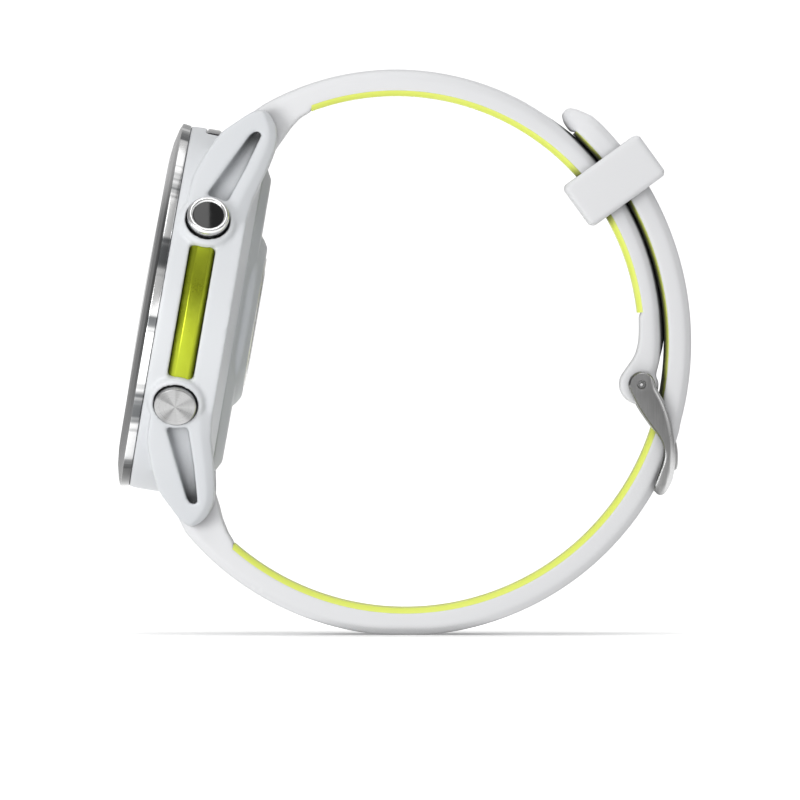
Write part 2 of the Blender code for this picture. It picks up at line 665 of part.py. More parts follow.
def arm_outline():
    """Side outline of a buckle arm: round head on the pin, curved and tapering to the crossbar."""
    head = [on_circle(BUCKLE_PIN, 1.7, angle) for angle in (20, 50, 80, 110, 140, 170, 200)]
    inner = [(29.9, 29.1), (31.3, 27.0), (32.6, 25.3), (33.15, 24.2), (33.25, 22.6), (32.8, 21.0)]
    foot = [(32.3, 19.4), (32.25, 18.6), (32.5, 18.1), (32.95, 17.95), (33.7, 18.7), (34.35, 19.8)]
    outer = [(34.6, 21.5), (34.65, 23.5), (34.5, 25.2), (34.05, 27.5), (33.25, 29.8), (32.3, 31.6)]
    return head + inner + foot + outer


def arm_shape(side):
    """A flat arm with its outer rim bevelled."""
    outline = arm_outline()
    middle = Vector((sum(p[0] for p in outline) / len(outline), sum(p[1] for p in outline) / len(outline)))
    rows = []
    count = len(outline)
    for y, inset in ((11.3, 0.0), (12.25, 0.0), (12.6, 0.35)):
        row = []
        for i, (x, z) in enumerate(outline):
            before, after = Vector(outline[i - 1]), Vector(outline[(i + 1) % count])
            run = (after - before).normalized()
            row.append((x + inset * -run.y, side * y, z + inset * run.x))
        rows.append(row)
    return stack(rows)


def make_buckle():
    frame = make_solid(arm_shape(1))
    join(frame, arm_shape(-1))
    bar = [(33.65, 21.1), (32.8, 19.5), (32.45, 18.6), (32.7, 18.15), (33.05, 18.2)]
    bar += [(33.65, 18.85), (34.25, 19.8), (34.45, 20.9), (34.2, 21.3)]
    join(frame, prism(bar, -11.9, 11.9, in_world))
    cut(frame, prism([(33.75, 20.2), (36.0, 20.2), (36.0, 22.5), (33.75, 22.5)], -1.3, 1.3, in_world))
    cut(frame, bar_bore(BUCKLE_PIN, 0.8))
    finish(frame, "buckle_frame", (0.45, 0.45, 0.45), 1.0, 0.35, origin=BUCKLE_PIN)
    pin_profile = [(0, -12.5), (0.55, -12.5), (0.7, -12.35), (0.7, 12.35), (0.55, 12.5), (0, 12.5)]
    pin = moved(revolve(pin_profile, 20), Matrix.Rotation(math.pi / 2, 4, "X"))
    pin = moved(pin, Matrix.Translation((BUCKLE_PIN[0], 0, BUCKLE_PIN[1])))
    finish(make_solid(pin), "buckle_pin", (0.5, 0.5, 0.5), 1.0, 0.3, origin=BUCKLE_PIN)
    tongue = make_solid(prism(tongue_outline(0.0), -1.0, 1.0, in_world))
    loop = moved(disc(1.5, -1.1, 1.1, 24), Matrix.Rotation(math.pi / 2, 4, "X"))
    join(tongue, moved(loop, Matrix.Translation((BUCKLE_PIN[0], 0, BUCKLE_PIN[1]))))
    cut(tongue, bar_bore(BUCKLE_PIN, 0.8))
    finish(tongue, "buckle_tongue", (0.5, 0.5, 0.5), 1.0, 0.3, origin=BUCKLE_PIN)


def main():
    clear_scene()
    collection = bpy.data.collections.new(COLLECTION)
    bpy.context.scene.collection.children.link(collection)
    frame = make_empty("case_frame", case_matrix())
    make_main_case(frame)
    make_front(frame)
    make_back(frame)
    make_insides(frame)
    for name, angle in BUTTON_ANGLES.items():
        make_button(name, angle, frame)
    make_short_strap()
    make_long_strap()
    make_keeper()
    make_buckle()


main()
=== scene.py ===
from math import copysign, cos, dist, pi, radians, sin, sqrt

import bmesh
import bpy
from mathutils import Matrix, Vector


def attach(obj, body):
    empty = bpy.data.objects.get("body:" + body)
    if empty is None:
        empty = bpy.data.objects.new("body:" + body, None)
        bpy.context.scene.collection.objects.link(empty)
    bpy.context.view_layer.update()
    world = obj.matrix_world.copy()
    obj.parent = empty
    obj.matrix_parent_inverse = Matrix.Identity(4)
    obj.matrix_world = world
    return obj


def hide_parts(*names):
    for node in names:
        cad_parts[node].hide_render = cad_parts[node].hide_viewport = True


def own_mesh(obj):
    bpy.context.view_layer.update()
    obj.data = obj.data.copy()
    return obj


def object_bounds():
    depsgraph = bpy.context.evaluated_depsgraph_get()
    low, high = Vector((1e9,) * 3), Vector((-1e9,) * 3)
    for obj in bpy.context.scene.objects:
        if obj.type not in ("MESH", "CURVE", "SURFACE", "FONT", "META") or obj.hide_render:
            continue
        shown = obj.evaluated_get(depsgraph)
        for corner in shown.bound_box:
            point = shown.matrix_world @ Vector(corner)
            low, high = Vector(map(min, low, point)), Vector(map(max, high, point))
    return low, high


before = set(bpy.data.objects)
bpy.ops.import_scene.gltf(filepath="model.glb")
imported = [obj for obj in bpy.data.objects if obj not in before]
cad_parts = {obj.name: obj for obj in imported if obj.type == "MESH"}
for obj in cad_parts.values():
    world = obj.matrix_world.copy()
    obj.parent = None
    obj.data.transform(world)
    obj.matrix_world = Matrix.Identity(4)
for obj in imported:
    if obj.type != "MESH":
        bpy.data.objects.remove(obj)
cad_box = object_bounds()

MM = 0.001

# Turns that lay a shape made along Z along X or along Y.
Z_TO_X = Matrix.Rotation(pi / 2, 4, "Y")
Z_TO_Y = Matrix.Rotation(pi / 2, 4, "X")

# Case placement and proportions, as in the CAD model, in millimetres.
CASE_CENTRE = (-31.52, 0.0, 42.11)
CASE_TILT = radians(9.9)
CAVITY_RADIUS = 19.1
BUTTON_HEIGHT = -4.4
BUTTON_ANGLES = {
    "upper_right": 30,
    "lower_right": -30,
    "upper_left": 150,
    "middle_left": 180,
    "lower_left": 210,
}
BOSS_RADIUS = 3.65
CAP_RADIUS = 2.7
SPRING_ROOM = (22.1, 23.1)
BAR_REACH = 24.0
BAR_HEIGHT = -8.7
LUG_INNER = 11.3
SCREW_ANGLES = (54, 126, 234, 306)
SCREW_REACH = 17.0
CHARGING_SPOTS = [(-3.0 + 2.0 * i, -14.6) for i in range(4)]

# Strap proportions, in millimetres and degrees: centres are (x, z), and in and out are radii.
STRAP_HALF = 10.9
LINER_BURIED = 0.68
BONDED = 0.5
SHORT_CENTRE = (-1.08, 37.93)
SHORT_IN = 31.1
SHORT_OUT = 34.3
LONG_CENTRE = (0.08, 36.52)
LONG_IN = 33.1
LONG_OUT = 36.62
TAIL_CENTRE = (-2.98, 37.45)
TAIL_IN = 36.3
TAIL_OUT = 39.7
JOIN_ANGLE = -16.9
BUCKLE_PIN = (30.34, 32.06)
KEEPER_ANGLE = 35.9
KEEPER_HALF = 3.2

# Detail of the visual meshes: rises over the CAD model's flat faces, then steps and voxels.
CRYSTAL_DOME = 0.4
SHORT_CROWN = 0.22
RIM_LEVEL = 24.95
RING_STEPS = 256
CASE_STEPS = 144
BUTTON_STEPS = 96
CASE_VOXEL = 0.22
STRAP_VOXEL = 0.25

# Brightness of the studio: everywhere, then (direction, cosine at its edge, cosine where full, brightness).
STUDIO_LEVEL = 0.53
STUDIO_AREAS = (
    ((0.0, 0.0, 1.0), 0.4, 0.95, 0.60),
    ((0.0, -0.35, -0.94), 0.4, 0.95, 1.10),
    ((0.0, -1.0, 0.0), 0.80, 0.98, 0.50),
    ((1.0, 0.0, 0.0), 0.2, 0.8, 0.34),
    ((-0.83, 0.56, 0.0), 0.7, 0.93, 0.30),
    ((0.0, 1.0, 0.0), 0.75, 0.95, 0.75),
)
BACKDROP_LEVEL = 1.15

# The floor sheet's side, and its glow under the object and far from it.
FLOOR_SIDE = 3.0
FLOOR_GLOW = (0.13, 0.75)

# The camera's lens and sensor in millimetres, and the rest in metres and radians.
CAMERA_LENS = 1500.0
CAMERA_SENSOR = 36.0
CAMERA_RISE = radians(0.3)
CAMERA_TARGET = (-0.000576, -0.0109, 0.03008)
VIEW_WIDTH = 0.1024


# ---- shapes ----


def whole_turn(steps):
    """Even angles round a circle, in radians."""
    return [2 * pi * i / steps for i in range(steps)]


def even(start, end, steps):
    """The values at equal steps from start to end."""
    return [start + (end - start) * i / steps for i in range(steps + 1)]


def round_z(radius, angle, height=0.0):
    """The point at a radius and an angle round Z."""
    return (radius * cos(angle), radius * sin(angle), height)


def revolve(profile, steps):
    """A (radius, height) profile turned round Z: a ring, or a solid with flat ends when it meets the axis."""
    rim = [point for point in profile if point[0] > 0]
    points = [round_z(radius, angle, height) for radius, height in rim for angle in whole_turn(steps)]
    if len(rim) < len(profile):
        return points, bridge(steps, len(rim))
    faces = bridge(steps, len(rim))[:-2]
    last = (len(rim) - 1) * steps
    for i in range(steps):
        j = (i + 1) % steps
        faces.append([last + i, last + j, j, i])
    return points, faces


def sweep(section, start, end, steps):
    """A closed (radius, height) section carried round Z between two angles, with flat ends."""
    points = []
    for angle in even(start, end, steps):
        points += [round_z(radius, radians(angle), height) for radius, height in section]
    return points, bridge(len(section), steps + 1)


def bridge(around, rows):
    """Faces joining rows of points, each row closed on itself, with a cap on the first and last."""
    faces = []
    for row in range(rows - 1):
        for k in range(around):
            a, b = row * around + k, row * around + (k + 1) % around
            faces.append([a, b, b + around, a + around])
    faces.append(list(range(around))[::-1])
    faces.append([(rows - 1) * around + k for k in range(around)])
    return faces


def prism(outline, low, high, put):
    """An outline carried between two offsets. put turns (a, b, offset) into a point."""
    return stack([[put(a, b, offset) for a, b in outline] for offset in (low, high)])


def stack(rows):
    """A solid through rings of points that match one for one."""
    return [p for row in rows for p in row], bridge(len(rows[0]), len(rows))


def moved(shape, matrix):
    points, faces = shape
    return [tuple(matrix @ Vector(p)) for p in points], faces


def in_world(x, z, y):
    """The world's point for an (x, z) of a side outline, at y."""
    return (x, y, z)


def lerp(a, b, share):
    """The point a share of the way from a to b."""
    return tuple(p + (q - p) * share for p, q in zip(a, b))


def spline(p0, p1, p2, p3, t):
    """The point a share t of the way from p1 to p2, on a smooth curve through all four."""
    return 0.5 * (2 * p1 + (p2 - p0) * t + (2 * p0 - 5 * p1 + 4 * p2 - p3) * t * t
                  + (3 * p1 - p0 - 3 * p2 + p3) * t ** 3)


def disc(radius, low, high, steps=48):
    return revolve([(0, low), (radius, low), (radius, high), (0, high)], steps)


def soften(points, size, closed=True, steps=3):
    """Rounds every corner of a line of (a, b) points by a short curve. An open line keeps its ends."""
    made = []
    count = len(points)
    for i, corner in enumerate(points):
        if not closed and i in (0, count - 1):
            made.append(corner)
            continue
        here = Vector(corner)
        before = Vector(points[i - 1]) - here
        after = Vector(points[(i + 1) % count]) - here
        start = here + before.normalized() * min(size, before.length * 0.45)
        end = here + after.normalized() * min(size, after.length * 0.45)
        for k in range(steps + 1):
            t = k / steps
            spot = start * (1 - t) ** 2 + here * 2 * t * (1 - t) + end * t * t
            made.append((spot.x, spot.y))
    return made


def flowing(points, per=5):
    """A closed smooth curve through (a, b) points."""
    made = []
    count = len(points)
    for i in range(count):
        near = [Vector(points[(i + k) % count]) for k in (-1, 0, 1, 2)]
        made += [tuple(spline(*near, k / per)) for k in range(per)]
    return made


def ramp(value, low, high):
    """0 at low and beyond it, 1 at high and beyond it, and a straight line between."""
    return min(1.0, max(0.0, (value - low) / (high - low)))


def shift_round(radius, angle):
    """A move to a radius and an angle round Z, in degrees."""
    return Matrix.Translation(round_z(radius, radians(angle)))


def shrunk(outline, inset):
    """The closed outline moved inwards, for an outline that runs anticlockwise in (x, z)."""
    made = []
    count = len(outline)
    for i, (x, z) in enumerate(outline):
        run = (Vector(outline[(i + 1) % count]) - Vector(outline[i - 1])).normalized()
        made.append((x - inset * run.y, z + inset * run.x))
    return made


def plate(outline, levels):
    """A side outline carried along Y through (y, inset) levels."""
    return stack([[in_world(x, z, y) for x, z in shrunk(outline, inset)] for y, inset in levels])


def oval(half_x, half_y, height, steps=144, power=3.0):
    """Points of a rounded oblong at one height."""
    points = []
    for angle in whole_turn(steps):
        c, s = cos(angle), sin(angle)
        x = half_x * copysign(abs(c) ** (2 / power), c)
        y = half_y * copysign(abs(s) ** (2 / power), s)
        points.append((x, y, height))
    return points


def on_circle(centre, radius, angle):
    a, b, _ = round_z(radius, radians(angle))
    return (centre[0] + a, centre[1] + b)


# ---- objects ----


def add(name, data):
    obj = bpy.data.objects.new(name, data)
    bpy.context.scene.collection.objects.link(obj)
    return obj


def paint(mesh, look):
    mesh.materials.clear()
    mesh.materials.append(LOOKS[look])


def solid(shape):
    """A mesh object from a shape, its faces turned outwards. It stays in millimetres until show."""
    points, faces = shape
    mesh = bpy.data.meshes.new("solid")
    mesh.from_pydata(points, [], faces)
    clean = bmesh.new()
    clean.from_mesh(mesh)
    bmesh.ops.recalc_face_normals(clean, faces=clean.faces)
    if clean.calc_volume(signed=True) < 0:
        bmesh.ops.reverse_faces(clean, faces=clean.faces)
    clean.to_mesh(mesh)
    clean.free()
    return add("solid", mesh)


def settle(obj):
    """Turns the object's modifiers into its mesh."""
    graph = bpy.context.evaluated_depsgraph_get()
    result = bpy.data.meshes.new_from_object(obj.evaluated_get(graph))
    obj.modifiers.clear()
    obj.data = result


def boolean(target, shape, operation):
    other = solid(shape)
    step = target.modifiers.new("step", "BOOLEAN")
    step.operation = operation
    step.solver = "EXACT"
    step.object = other
    settle(target)
    bpy.data.objects.remove(other)


def join(target, shape):
    boolean(target, shape, "UNION")


def cut(target, shape):
    boolean(target, shape, "DIFFERENCE")


def mould(obj, voxel, smoothing=6):
    """Gives a hard-edged solid the small radii of a moulded part."""
    grid = obj.modifiers.new("grid", "REMESH")
    grid.mode = "VOXEL"
    grid.voxel_size = voxel
    soft = obj.modifiers.new("soft", "SMOOTH")
    soft.factor = 0.5
    soft.iterations = smoothing
    settle(obj)


def show(obj, name, body, slot, look, *nodes, place=None, crease=38):
    """Names a piece, gives it its material and its body, and hides the CAD nodes that it replaces. slot is
    not used.
    """
    mesh = obj.data
    mesh.transform(Matrix.Scale(MM, 4))
    obj.name = mesh.name = name
    paint(mesh, look)
    for polygon in mesh.polygons:
        polygon.material_index = 0
    mesh.shade_smooth()
    mesh.set_sharp_from_angle(angle=radians(crease))
    if place is not None:
        obj.matrix_world = place
    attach(obj, body)
    if nodes:
        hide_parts(*nodes)
    return obj


def show_on_case(obj, name, slot, look, node, crease=38):
    """Shows a piece that was made in the case's own directions."""
    show(obj, name, "case", slot, look, node, place=CASE_PLACE, crease=crease)


def case_matrix():
    """Columns are the case's 3 o'clock, 12 o'clock and crystal directions in the world."""
    s, c = sin(CASE_TILT), cos(CASE_TILT)
    turn = Matrix(((0, s, -c), (-1, 0, 0), (0, c, s))).to_4x4()
    return Matrix.Translation(Vector(CASE_CENTRE) * MM) @ turn


CASE_PLACE = case_matrix()


def case_point(along, height):
    """World (X, Z) of a point of the case's side outline."""
    s, c = sin(CASE_TILT), cos(CASE_TILT)
    return (CASE_CENTRE[0] + along * s - height * c, CASE_CENTRE[2] + along * c + height * s)


def button_turn(angle, scale=1.0):
    """Turns a shape made on Z so that it points out of the case wall at an angle from 3 o'clock."""
    lift = Matrix.Translation((0, 0, BUTTON_HEIGHT * scale))
    return lift @ Matrix.Rotation(radians(angle), 4, "Z") @ Z_TO_X


# ---- materials ----


class Nodes:
    """The procedural nodes of a material or of the world."""

    def __init__(self, tree):
        self.tree = tree

    def node(self, kind, *values, **settings):
        """A node whose first inputs, and those named by capitalised settings, are fed with the values."""
        made = self.tree.nodes.new("ShaderNode" + kind)
        for key, value in settings.items():
            if key[0].isupper():
                self.feed(value, made.inputs[key])
            else:
                setattr(made, key, value)
        for value, socket in zip(values, made.inputs):
            self.feed(value, socket)
        return made

    def link(self, source, target):
        self.tree.links.new(source, target)

    def feed(self, value, socket):
        """Sets a socket to a number, a vector or an RGB triple, or links another socket to it."""
        if isinstance(value, (int, float)):
            socket.default_value = value
        elif isinstance(value, tuple):
            socket.default_value = (*value, 1.0) if socket.type == "RGBA" else value
        else:
            self.link(value, socket)

    def remap(self, value, low, high, to_low=0.0, to_high=1.0, smooth=False):
        kind = "SMOOTHSTEP" if smooth else "LINEAR"
        made = self.node("MapRange", value, low, high, to_low, to_high, interpolation_type=kind)
        return made.outputs[0]

    def maths(self, operation, a, b=0.0):
        return self.node("Math", a, b, operation=operation).outputs[0]

    def mixed(self, a, share, b):
        """The sum of two values, with a counted by its share and b by the rest."""
        return self.maths("ADD", self.maths("MULTIPLY", a, share), self.maths("MULTIPLY", b, 1.0 - share))

    def blend(self, factor, low, high, kind="RGBA"):
        """A colour between two, or a number when kind is FLOAT. Both are values or sockets."""
        made = self.node("Mix", factor, data_type=kind)
        first, result = (2, 0) if kind == "FLOAT" else (6, 2)
        self.feed(low, made.inputs[first])
        self.feed(high, made.inputs[first + 1])
        return made.outputs[result]


class Look(Nodes):
    """A Principled material whose colour, roughness and relief come from procedural nodes."""

    def __init__(self, name, **fixed):
        self.material = bpy.data.materials.new(name)
        self.material.use_nodes = True
        super().__init__(self.material.node_tree)
        self.shader = self.tree.nodes["Principled BSDF"]
        for socket, value in fixed.items():
            self.shader.inputs[socket.replace("_", " ")].default_value = value
        self.spot = self.node("TexCoord").outputs["Object"]

    def noise(self, scale, detail=3.0, spot=None):
        """Noise of about 0.5 on average. scale is in waves to the metre."""
        return self.node("TexNoise", spot or self.spot, Scale=scale, Detail=detail).outputs["Fac"]

    def parts(self, vector):
        """The three parts of a vector socket."""
        return self.node("SeparateXYZ", vector).outputs

    def colour(self, socket):
        self.link(socket, self.shader.inputs["Base Color"])

    def roughness(self, socket):
        self.link(socket, self.shader.inputs["Roughness"])

    def relief(self, height, depth):
        """Bump from a 0 to 1 height of that depth in millimetres."""
        made = self.node("Bump", Strength=1.0, Distance=depth * MM, Height=height)
        self.link(made.outputs["Normal"], self.shader.inputs["Normal"])

    def painted_hollow_shade(self, reach, closed, free, darkest):
        """A factor that paints shade into hollows: darkest where the openness is below closed, 1 where it is
        above free. reach is in millimetres.
        """
        made = self.node("AmbientOcclusion", samples=8, Distance=reach * MM)
        return self.remap(made.outputs["AO"], closed, free, darkest, 1.0)

    def times(self, colour, factor):
        """The colour with each channel multiplied by a factor."""
        return self.node("VectorMath", colour, operation="SCALE", Scale=factor).outputs[0]

    def edges(self):
        """0 on flat places, 1 on convex edges."""
        return self.remap(self.node("NewGeometry").outputs["Pointiness"], 0.52, 0.62)

    def polar(self):
        """(angle as -0.5 to 0.5 of a turn, radius and height in metres) round the object's own Z."""
        x, y, z = self.parts(self.spot)
        turn = self.maths("DIVIDE", self.maths("ARCTAN2", y, x), 2 * pi)
        squares = self.maths("ADD", self.maths("MULTIPLY", x, x), self.maths("MULTIPLY", y, y))
        return turn, self.maths("SQRT", squares), z

    def ring_noise(self, turn, reach, along, across, detail=2.0, seed=0.0):
        """Noise that runs round the axis: along waves to the turn, across waves to the metre of radius."""
        angle = self.maths("MULTIPLY", turn, 2 * pi)
        radius = along / (2 * pi)
        x, y = (self.maths("MULTIPLY", self.maths(wave, angle), radius) for wave in ("COSINE", "SINE"))
        z = self.maths("ADD", self.maths("MULTIPLY", reach, across), seed)
        return self.noise(1.0, detail, self.node("CombineXYZ", x, y, z).outputs[0])


def grey(level):
    return (level, level, level)


def plastic(name, low, high, rough, grain=2600, depth=0.006, cloud=55, hollow_shade=(1.0, 0.1, 0.6, 0.45),
            **fixed):
    """Moulded plastic or rubber: faint clouding, fine grain, worn edges, and painted shade that darkens its
    hollows and creases.
    """
    look = Look(name, **fixed)
    fine = look.noise(grain, 2.0)
    broad = look.noise(cloud, 4.0)
    worn = look.blend(look.edges(), low, high)
    body = look.blend(look.remap(broad, 0.3, 0.7, 0.0, 0.6), worn, high)
    # Painted shade: the colour is darkened where the surface is hemmed in by other surfaces.
    look.colour(look.times(body, look.painted_hollow_shade(*hollow_shade)))
    look.roughness(look.remap(look.mixed(fine, 0.35, broad), 0.3, 0.7, rough - 0.06, rough + 0.06))
    look.relief(fine, depth)
    return look.material


def metal(name, low, high, rough, grain=900, depth=0.002, worn=1.25, **fixed):
    """Metal with a fine directionless finish, and edges that are brighter by the factor worn."""
    look = Look(name, Metallic=1.0, **fixed)
    fine = look.noise(grain * 4, 2.0)
    broad = look.noise(grain * 0.2, 3.0)
    body = look.blend(look.remap(broad, 0.3, 0.7), low, high)
    look.colour(look.blend(look.edges(), body, tuple(min(1.0, c * worn) for c in high)))
    look.roughness(look.remap(look.mixed(fine, 0.5, broad), 0.35, 0.65, rough - 0.05, rough + 0.07))
    look.relief(fine, depth)
    return look.material


def brushed(name, low, high, rough, direction, depth=0.002, **fixed):
    """Metal brushed along one direction on its flat sides, with polished edges between them. The edges'
    colour is painted light, dark grey where they face -X and pale grey where they face +X, and painted shade
    darkens its hollows.
    """
    look = Look(name, Metallic=1.0, **fixed)
    turn = look.node("Mapping", look.spot, Rotation=(0.0, direction, 0.0), Scale=(14000.0, 3000.0, 350.0))
    lines = look.noise(1.0, 3.0, turn.outputs[0])
    broad = look.noise(160, 3.0)
    sideways, along_y, _ = look.parts(look.node("TexCoord").outputs["Normal"])
    flat = look.remap(look.maths("ABSOLUTE", along_y), 0.93, 0.985)
    # Painted light on the edges: dark grey where they face -X, pale grey where they face +X.
    edge = look.blend(look.remap(sideways, -0.25, 0.35), grey(0.20), grey(0.52))
    body = look.blend(flat, edge, look.blend(look.remap(lines, 0.35, 0.65), low, high))
    # Painted shade darkens the colour in hollows.
    look.colour(look.times(body, look.painted_hollow_shade(1.6, 0.15, 0.75, 0.25)))
    uneven = look.remap(look.mixed(lines, 0.6, broad), 0.35, 0.65, rough - 0.06, rough + 0.08)
    polish = look.maths("MULTIPLY", look.maths("SUBTRACT", 1.0, flat), 0.12)
    look.roughness(look.maths("SUBTRACT", uneven, polish))
    look.relief(lines, depth)
    return look.material


def bezel_look():
    """Titanium: circular brushing on the front slope, painted with a dark reflection that turns pale towards
    12 o'clock, and a polished side band painted with uneven bright reflections, and painted dark at its 6
    o'clock end.
    """
    look = Look("titanium", Metallic=1.0, Anisotropic=0.4)
    turn, reach, height = look.polar()
    towards_12 = look.parts(look.spot)[1]
    lines = look.ring_noise(turn, reach, 5, 9000)
    fine = look.remap(lines, 0.3, 0.7)
    # Painted reflection on the front slope: dark grey, turning pale towards 12 o'clock.
    dark = look.blend(fine, (0.105, 0.105, 0.107), (0.14, 0.14, 0.142))
    pale = look.blend(fine, (0.50, 0.50, 0.502), (0.60, 0.60, 0.602))
    front = look.blend(look.remap(towards_12, 0.010, 0.018, smooth=True), dark, pale)
    # Painted reflections on the side band: bright blotches and thin bright lines round the turn, on a dark
    # grey.
    turn = look.maths("SUBTRACT", turn, 0.0167)
    painted_glint_patches = look.ring_noise(turn, reach, 38, 0, 0.5, 3.7)
    painted_glint_streaks = look.ring_noise(turn, reach, 150, 0, 1.0, 9.1)
    bright = look.remap(look.mixed(painted_glint_patches, 0.75, painted_glint_streaks), 0.37, 0.53, smooth=True)
    band = look.blend(bright, (0.15, 0.155, 0.16), grey(0.86))
    # Painted shade darkens the side band at its 6 o'clock end.
    band = look.times(band, look.remap(towards_12, -0.0212, -0.0192, 0.12, 1.0, True))
    side = look.remap(height, 0.00088, 0.00093, 1.0, 0.0)
    look.colour(look.blend(side, front, band))
    rough = look.remap(lines, 0.3, 0.7, 0.30, 0.42)
    look.roughness(look.maths("SUBTRACT", rough, look.maths("MULTIPLY", side, 0.2)))
    look.relief(lines, 0.002)
    return look.material


def spun_look(name, low, high, rough):
    """A turned metal face: fine rings, with soft bright and dark wedges round the axis that are painted
    reflections.
    """
    look = Look(name, Metallic=1.0, Anisotropic=0.6)
    turn, reach, _ = look.polar()
    rings = look.ring_noise(turn, reach, 3, 16000)
    # Painted reflections: bright and dark wedges round the axis.
    painted_sector_glints = look.remap(look.ring_noise(turn, reach, 9, 0, 1.0, 4.3), 0.36, 0.62, smooth=True)
    look.colour(look.blend(look.mixed(painted_sector_glints, 0.8, look.remap(rings, 0.3, 0.7)), low, high))
    look.roughness(look.remap(rings, 0.3, 0.7, rough - 0.05, rough + 0.08))
    look.relief(rings, 0.003)
    tangent = look.node("Tangent", direction_type="RADIAL", axis="Z")
    look.link(tangent.outputs[0], look.shader.inputs["Tangent"])
    return look.material


def glass_look(name, low, high, scale, **fixed):
    """Black cover glass: almost even, with faint smears that change the gloss."""
    look = Look(name, **fixed)
    smear = look.noise(scale, 5.0)
    look.colour(look.blend(look.remap(smear, 0.3, 0.7), low, high))
    look.roughness(look.remap(smear, 0.35, 0.7, 0.03, 0.10))
    return look.material


def crystal_look():
    """The cover glass with its printed black rim, the dark screen inside it and a ring of minute marks."""
    look = Look("crystal_glass", Specular_IOR_Level=0.6, Coat_Weight=0.6, Coat_Roughness=0.02)
    turn, reach, _ = look.polar()
    smear = look.noise(90, 5.0)
    uneven = look.remap(smear, 0.3, 0.7)
    rim = look.blend(uneven, (0.004, 0.004, 0.005), (0.008, 0.008, 0.009))
    lit = look.blend(uneven, (0.010, 0.011, 0.014), (0.014, 0.016, 0.020))
    base = look.blend(look.remap(reach, 0.01545, 0.01555, 1.0, 0.0), rim, lit)
    minute = look.maths("FRACT", look.maths("MULTIPLY", turn, 60))
    beat = look.maths("ABSOLUTE", look.maths("SUBTRACT", minute, 0.5))
    tick = look.maths("GREATER_THAN", beat, 0.44)
    inside = look.maths("MULTIPLY", look.maths("GREATER_THAN", reach, 0.0163),
                        look.maths("LESS_THAN", reach, 0.0174))
    look.colour(look.blend(look.maths("MULTIPLY", tick, inside), base, (0.16, 0.165, 0.17)))
    look.roughness(look.remap(smear, 0.35, 0.7, 0.03, 0.09))
    return look.material


def floor_look():
    """A pale sheet that glows more away from the object, so that it meets the backdrop without an edge."""
    look = Look("floor_sheet", Roughness=0.8, Emission_Color=(1.0, 1.0, 1.0, 1.0))
    _, reach, _ = look.polar()
    look.colour(look.blend(look.noise(4.0), grey(0.90), grey(0.93)))
    look.link(look.remap(reach, 0.02, 0.06, *FLOOR_GLOW), look.shader.inputs["Emission Strength"])
    return look.material


# In each plastic look the crevice tuple paints shade into hollows: its reach, the openness at its darkest,
# the openness where it ends, and its darkest factor.
LOOKS = {
    # The case gets deep painted shade, which darkens the lug recesses.
    "case": plastic("case_polymer", (0.70, 0.72, 0.745), (0.74, 0.755, 0.77), 0.42, depth=0.004,
                    hollow_shade=(3.0, 0.13, 0.66, 0.14)),
    # The rear cover's grey is partly its own tone and partly painted shade.
    "cover": plastic("cover_polymer", (0.50, 0.525, 0.545), (0.55, 0.57, 0.585), 0.45, depth=0.004),
    "titanium": bezel_look(),
    "steel": metal("brushed_metal", grey(0.50), grey(0.60), 0.34),
    "buckle": brushed("buckle_metal", grey(0.20), (0.235, 0.235, 0.233), 0.38, 0.35),
    "polished": metal("polished_metal", grey(0.62), grey(0.70), 0.20, depth=0.0004),
    "spun": spun_look("spun_metal", grey(0.25), grey(0.46), 0.30),
    "crystal": crystal_look(),
    "black_glass": glass_look("black_glass", grey(0.003), (0.008, 0.008, 0.009), 220,
                              Specular_IOR_Level=0.6),
    "inset": glass_look("black_mirror", grey(0.004), grey(0.006), 500, Specular_IOR_Level=0.30),
    "lamp": glass_look("lamp_window", (0.03, 0.03, 0.033), (0.07, 0.07, 0.075), 700),
    "accent": metal("accent_yellow", (0.30, 0.35, 0.020), (0.35, 0.41, 0.032), 0.32, depth=0.0001,
                    worn=1.0),
    # The silicone gets painted shade in the gaps between the straps, near black on the yellow liner.
    "white": plastic("silicone_white", (0.80, 0.805, 0.82), (0.835, 0.84, 0.85), 0.56, grain=3600,
                     depth=0.007, hollow_shade=(3.2, 0.0, 0.68, 0.34), Sheen_Weight=0.08),
    "yellow": plastic("silicone_yellow", (0.83, 0.93, 0.13), (0.87, 0.96, 0.18), 0.50, grain=3600,
                      hollow_shade=(2.5, 0.42, 0.88, 0.04), Sheen_Weight=0.08),
    "rubber": plastic("seal_rubber", (0.020, 0.020, 0.022), (0.045, 0.045, 0.048), 0.75),
    "black": plastic("black_plastic", (0.018, 0.018, 0.020), (0.035, 0.035, 0.038), 0.55),
    "board": plastic("circuit_board", (0.010, 0.070, 0.030), (0.018, 0.12, 0.05), 0.45, grain=1500,
                     cloud=500),
    "cell": metal("cell_foil", (0.42, 0.43, 0.45), (0.56, 0.57, 0.58), 0.38, grain=300),
    "gold": metal("gold_contact", (0.80, 0.58, 0.20), (0.92, 0.72, 0.32), 0.24),
    "floor": floor_look(),
}


# ---- case ----


def lug_face(along):
    """Distance of a lug's sloping outer face from the case's middle plane."""
    return 20.2 - (abs(along) - 13.0) * 0.45


def lug_rows(put):
    """A lug: a straight side, then a bevel along its back and round its tip."""
    wide = lug_outline(())
    narrow = lug_outline(((27.0, -8.9), (26.75, -9.15), (26.1, -9.45), (24.8, -10.15), (23.3, -10.35),
                          (21.8, -10.1), (19.0, -9.35), (15.0, -8.1), (12.03, -7.6)))
    rows = [[put(a, h, 11.0) for a, h in wide]]
    rows.append([put(a, h, lug_face(a) - 0.75) for a, h in wide])
    rows.append([put(a, h, lug_face(a)) for a, h in narrow])
    return stack(rows)


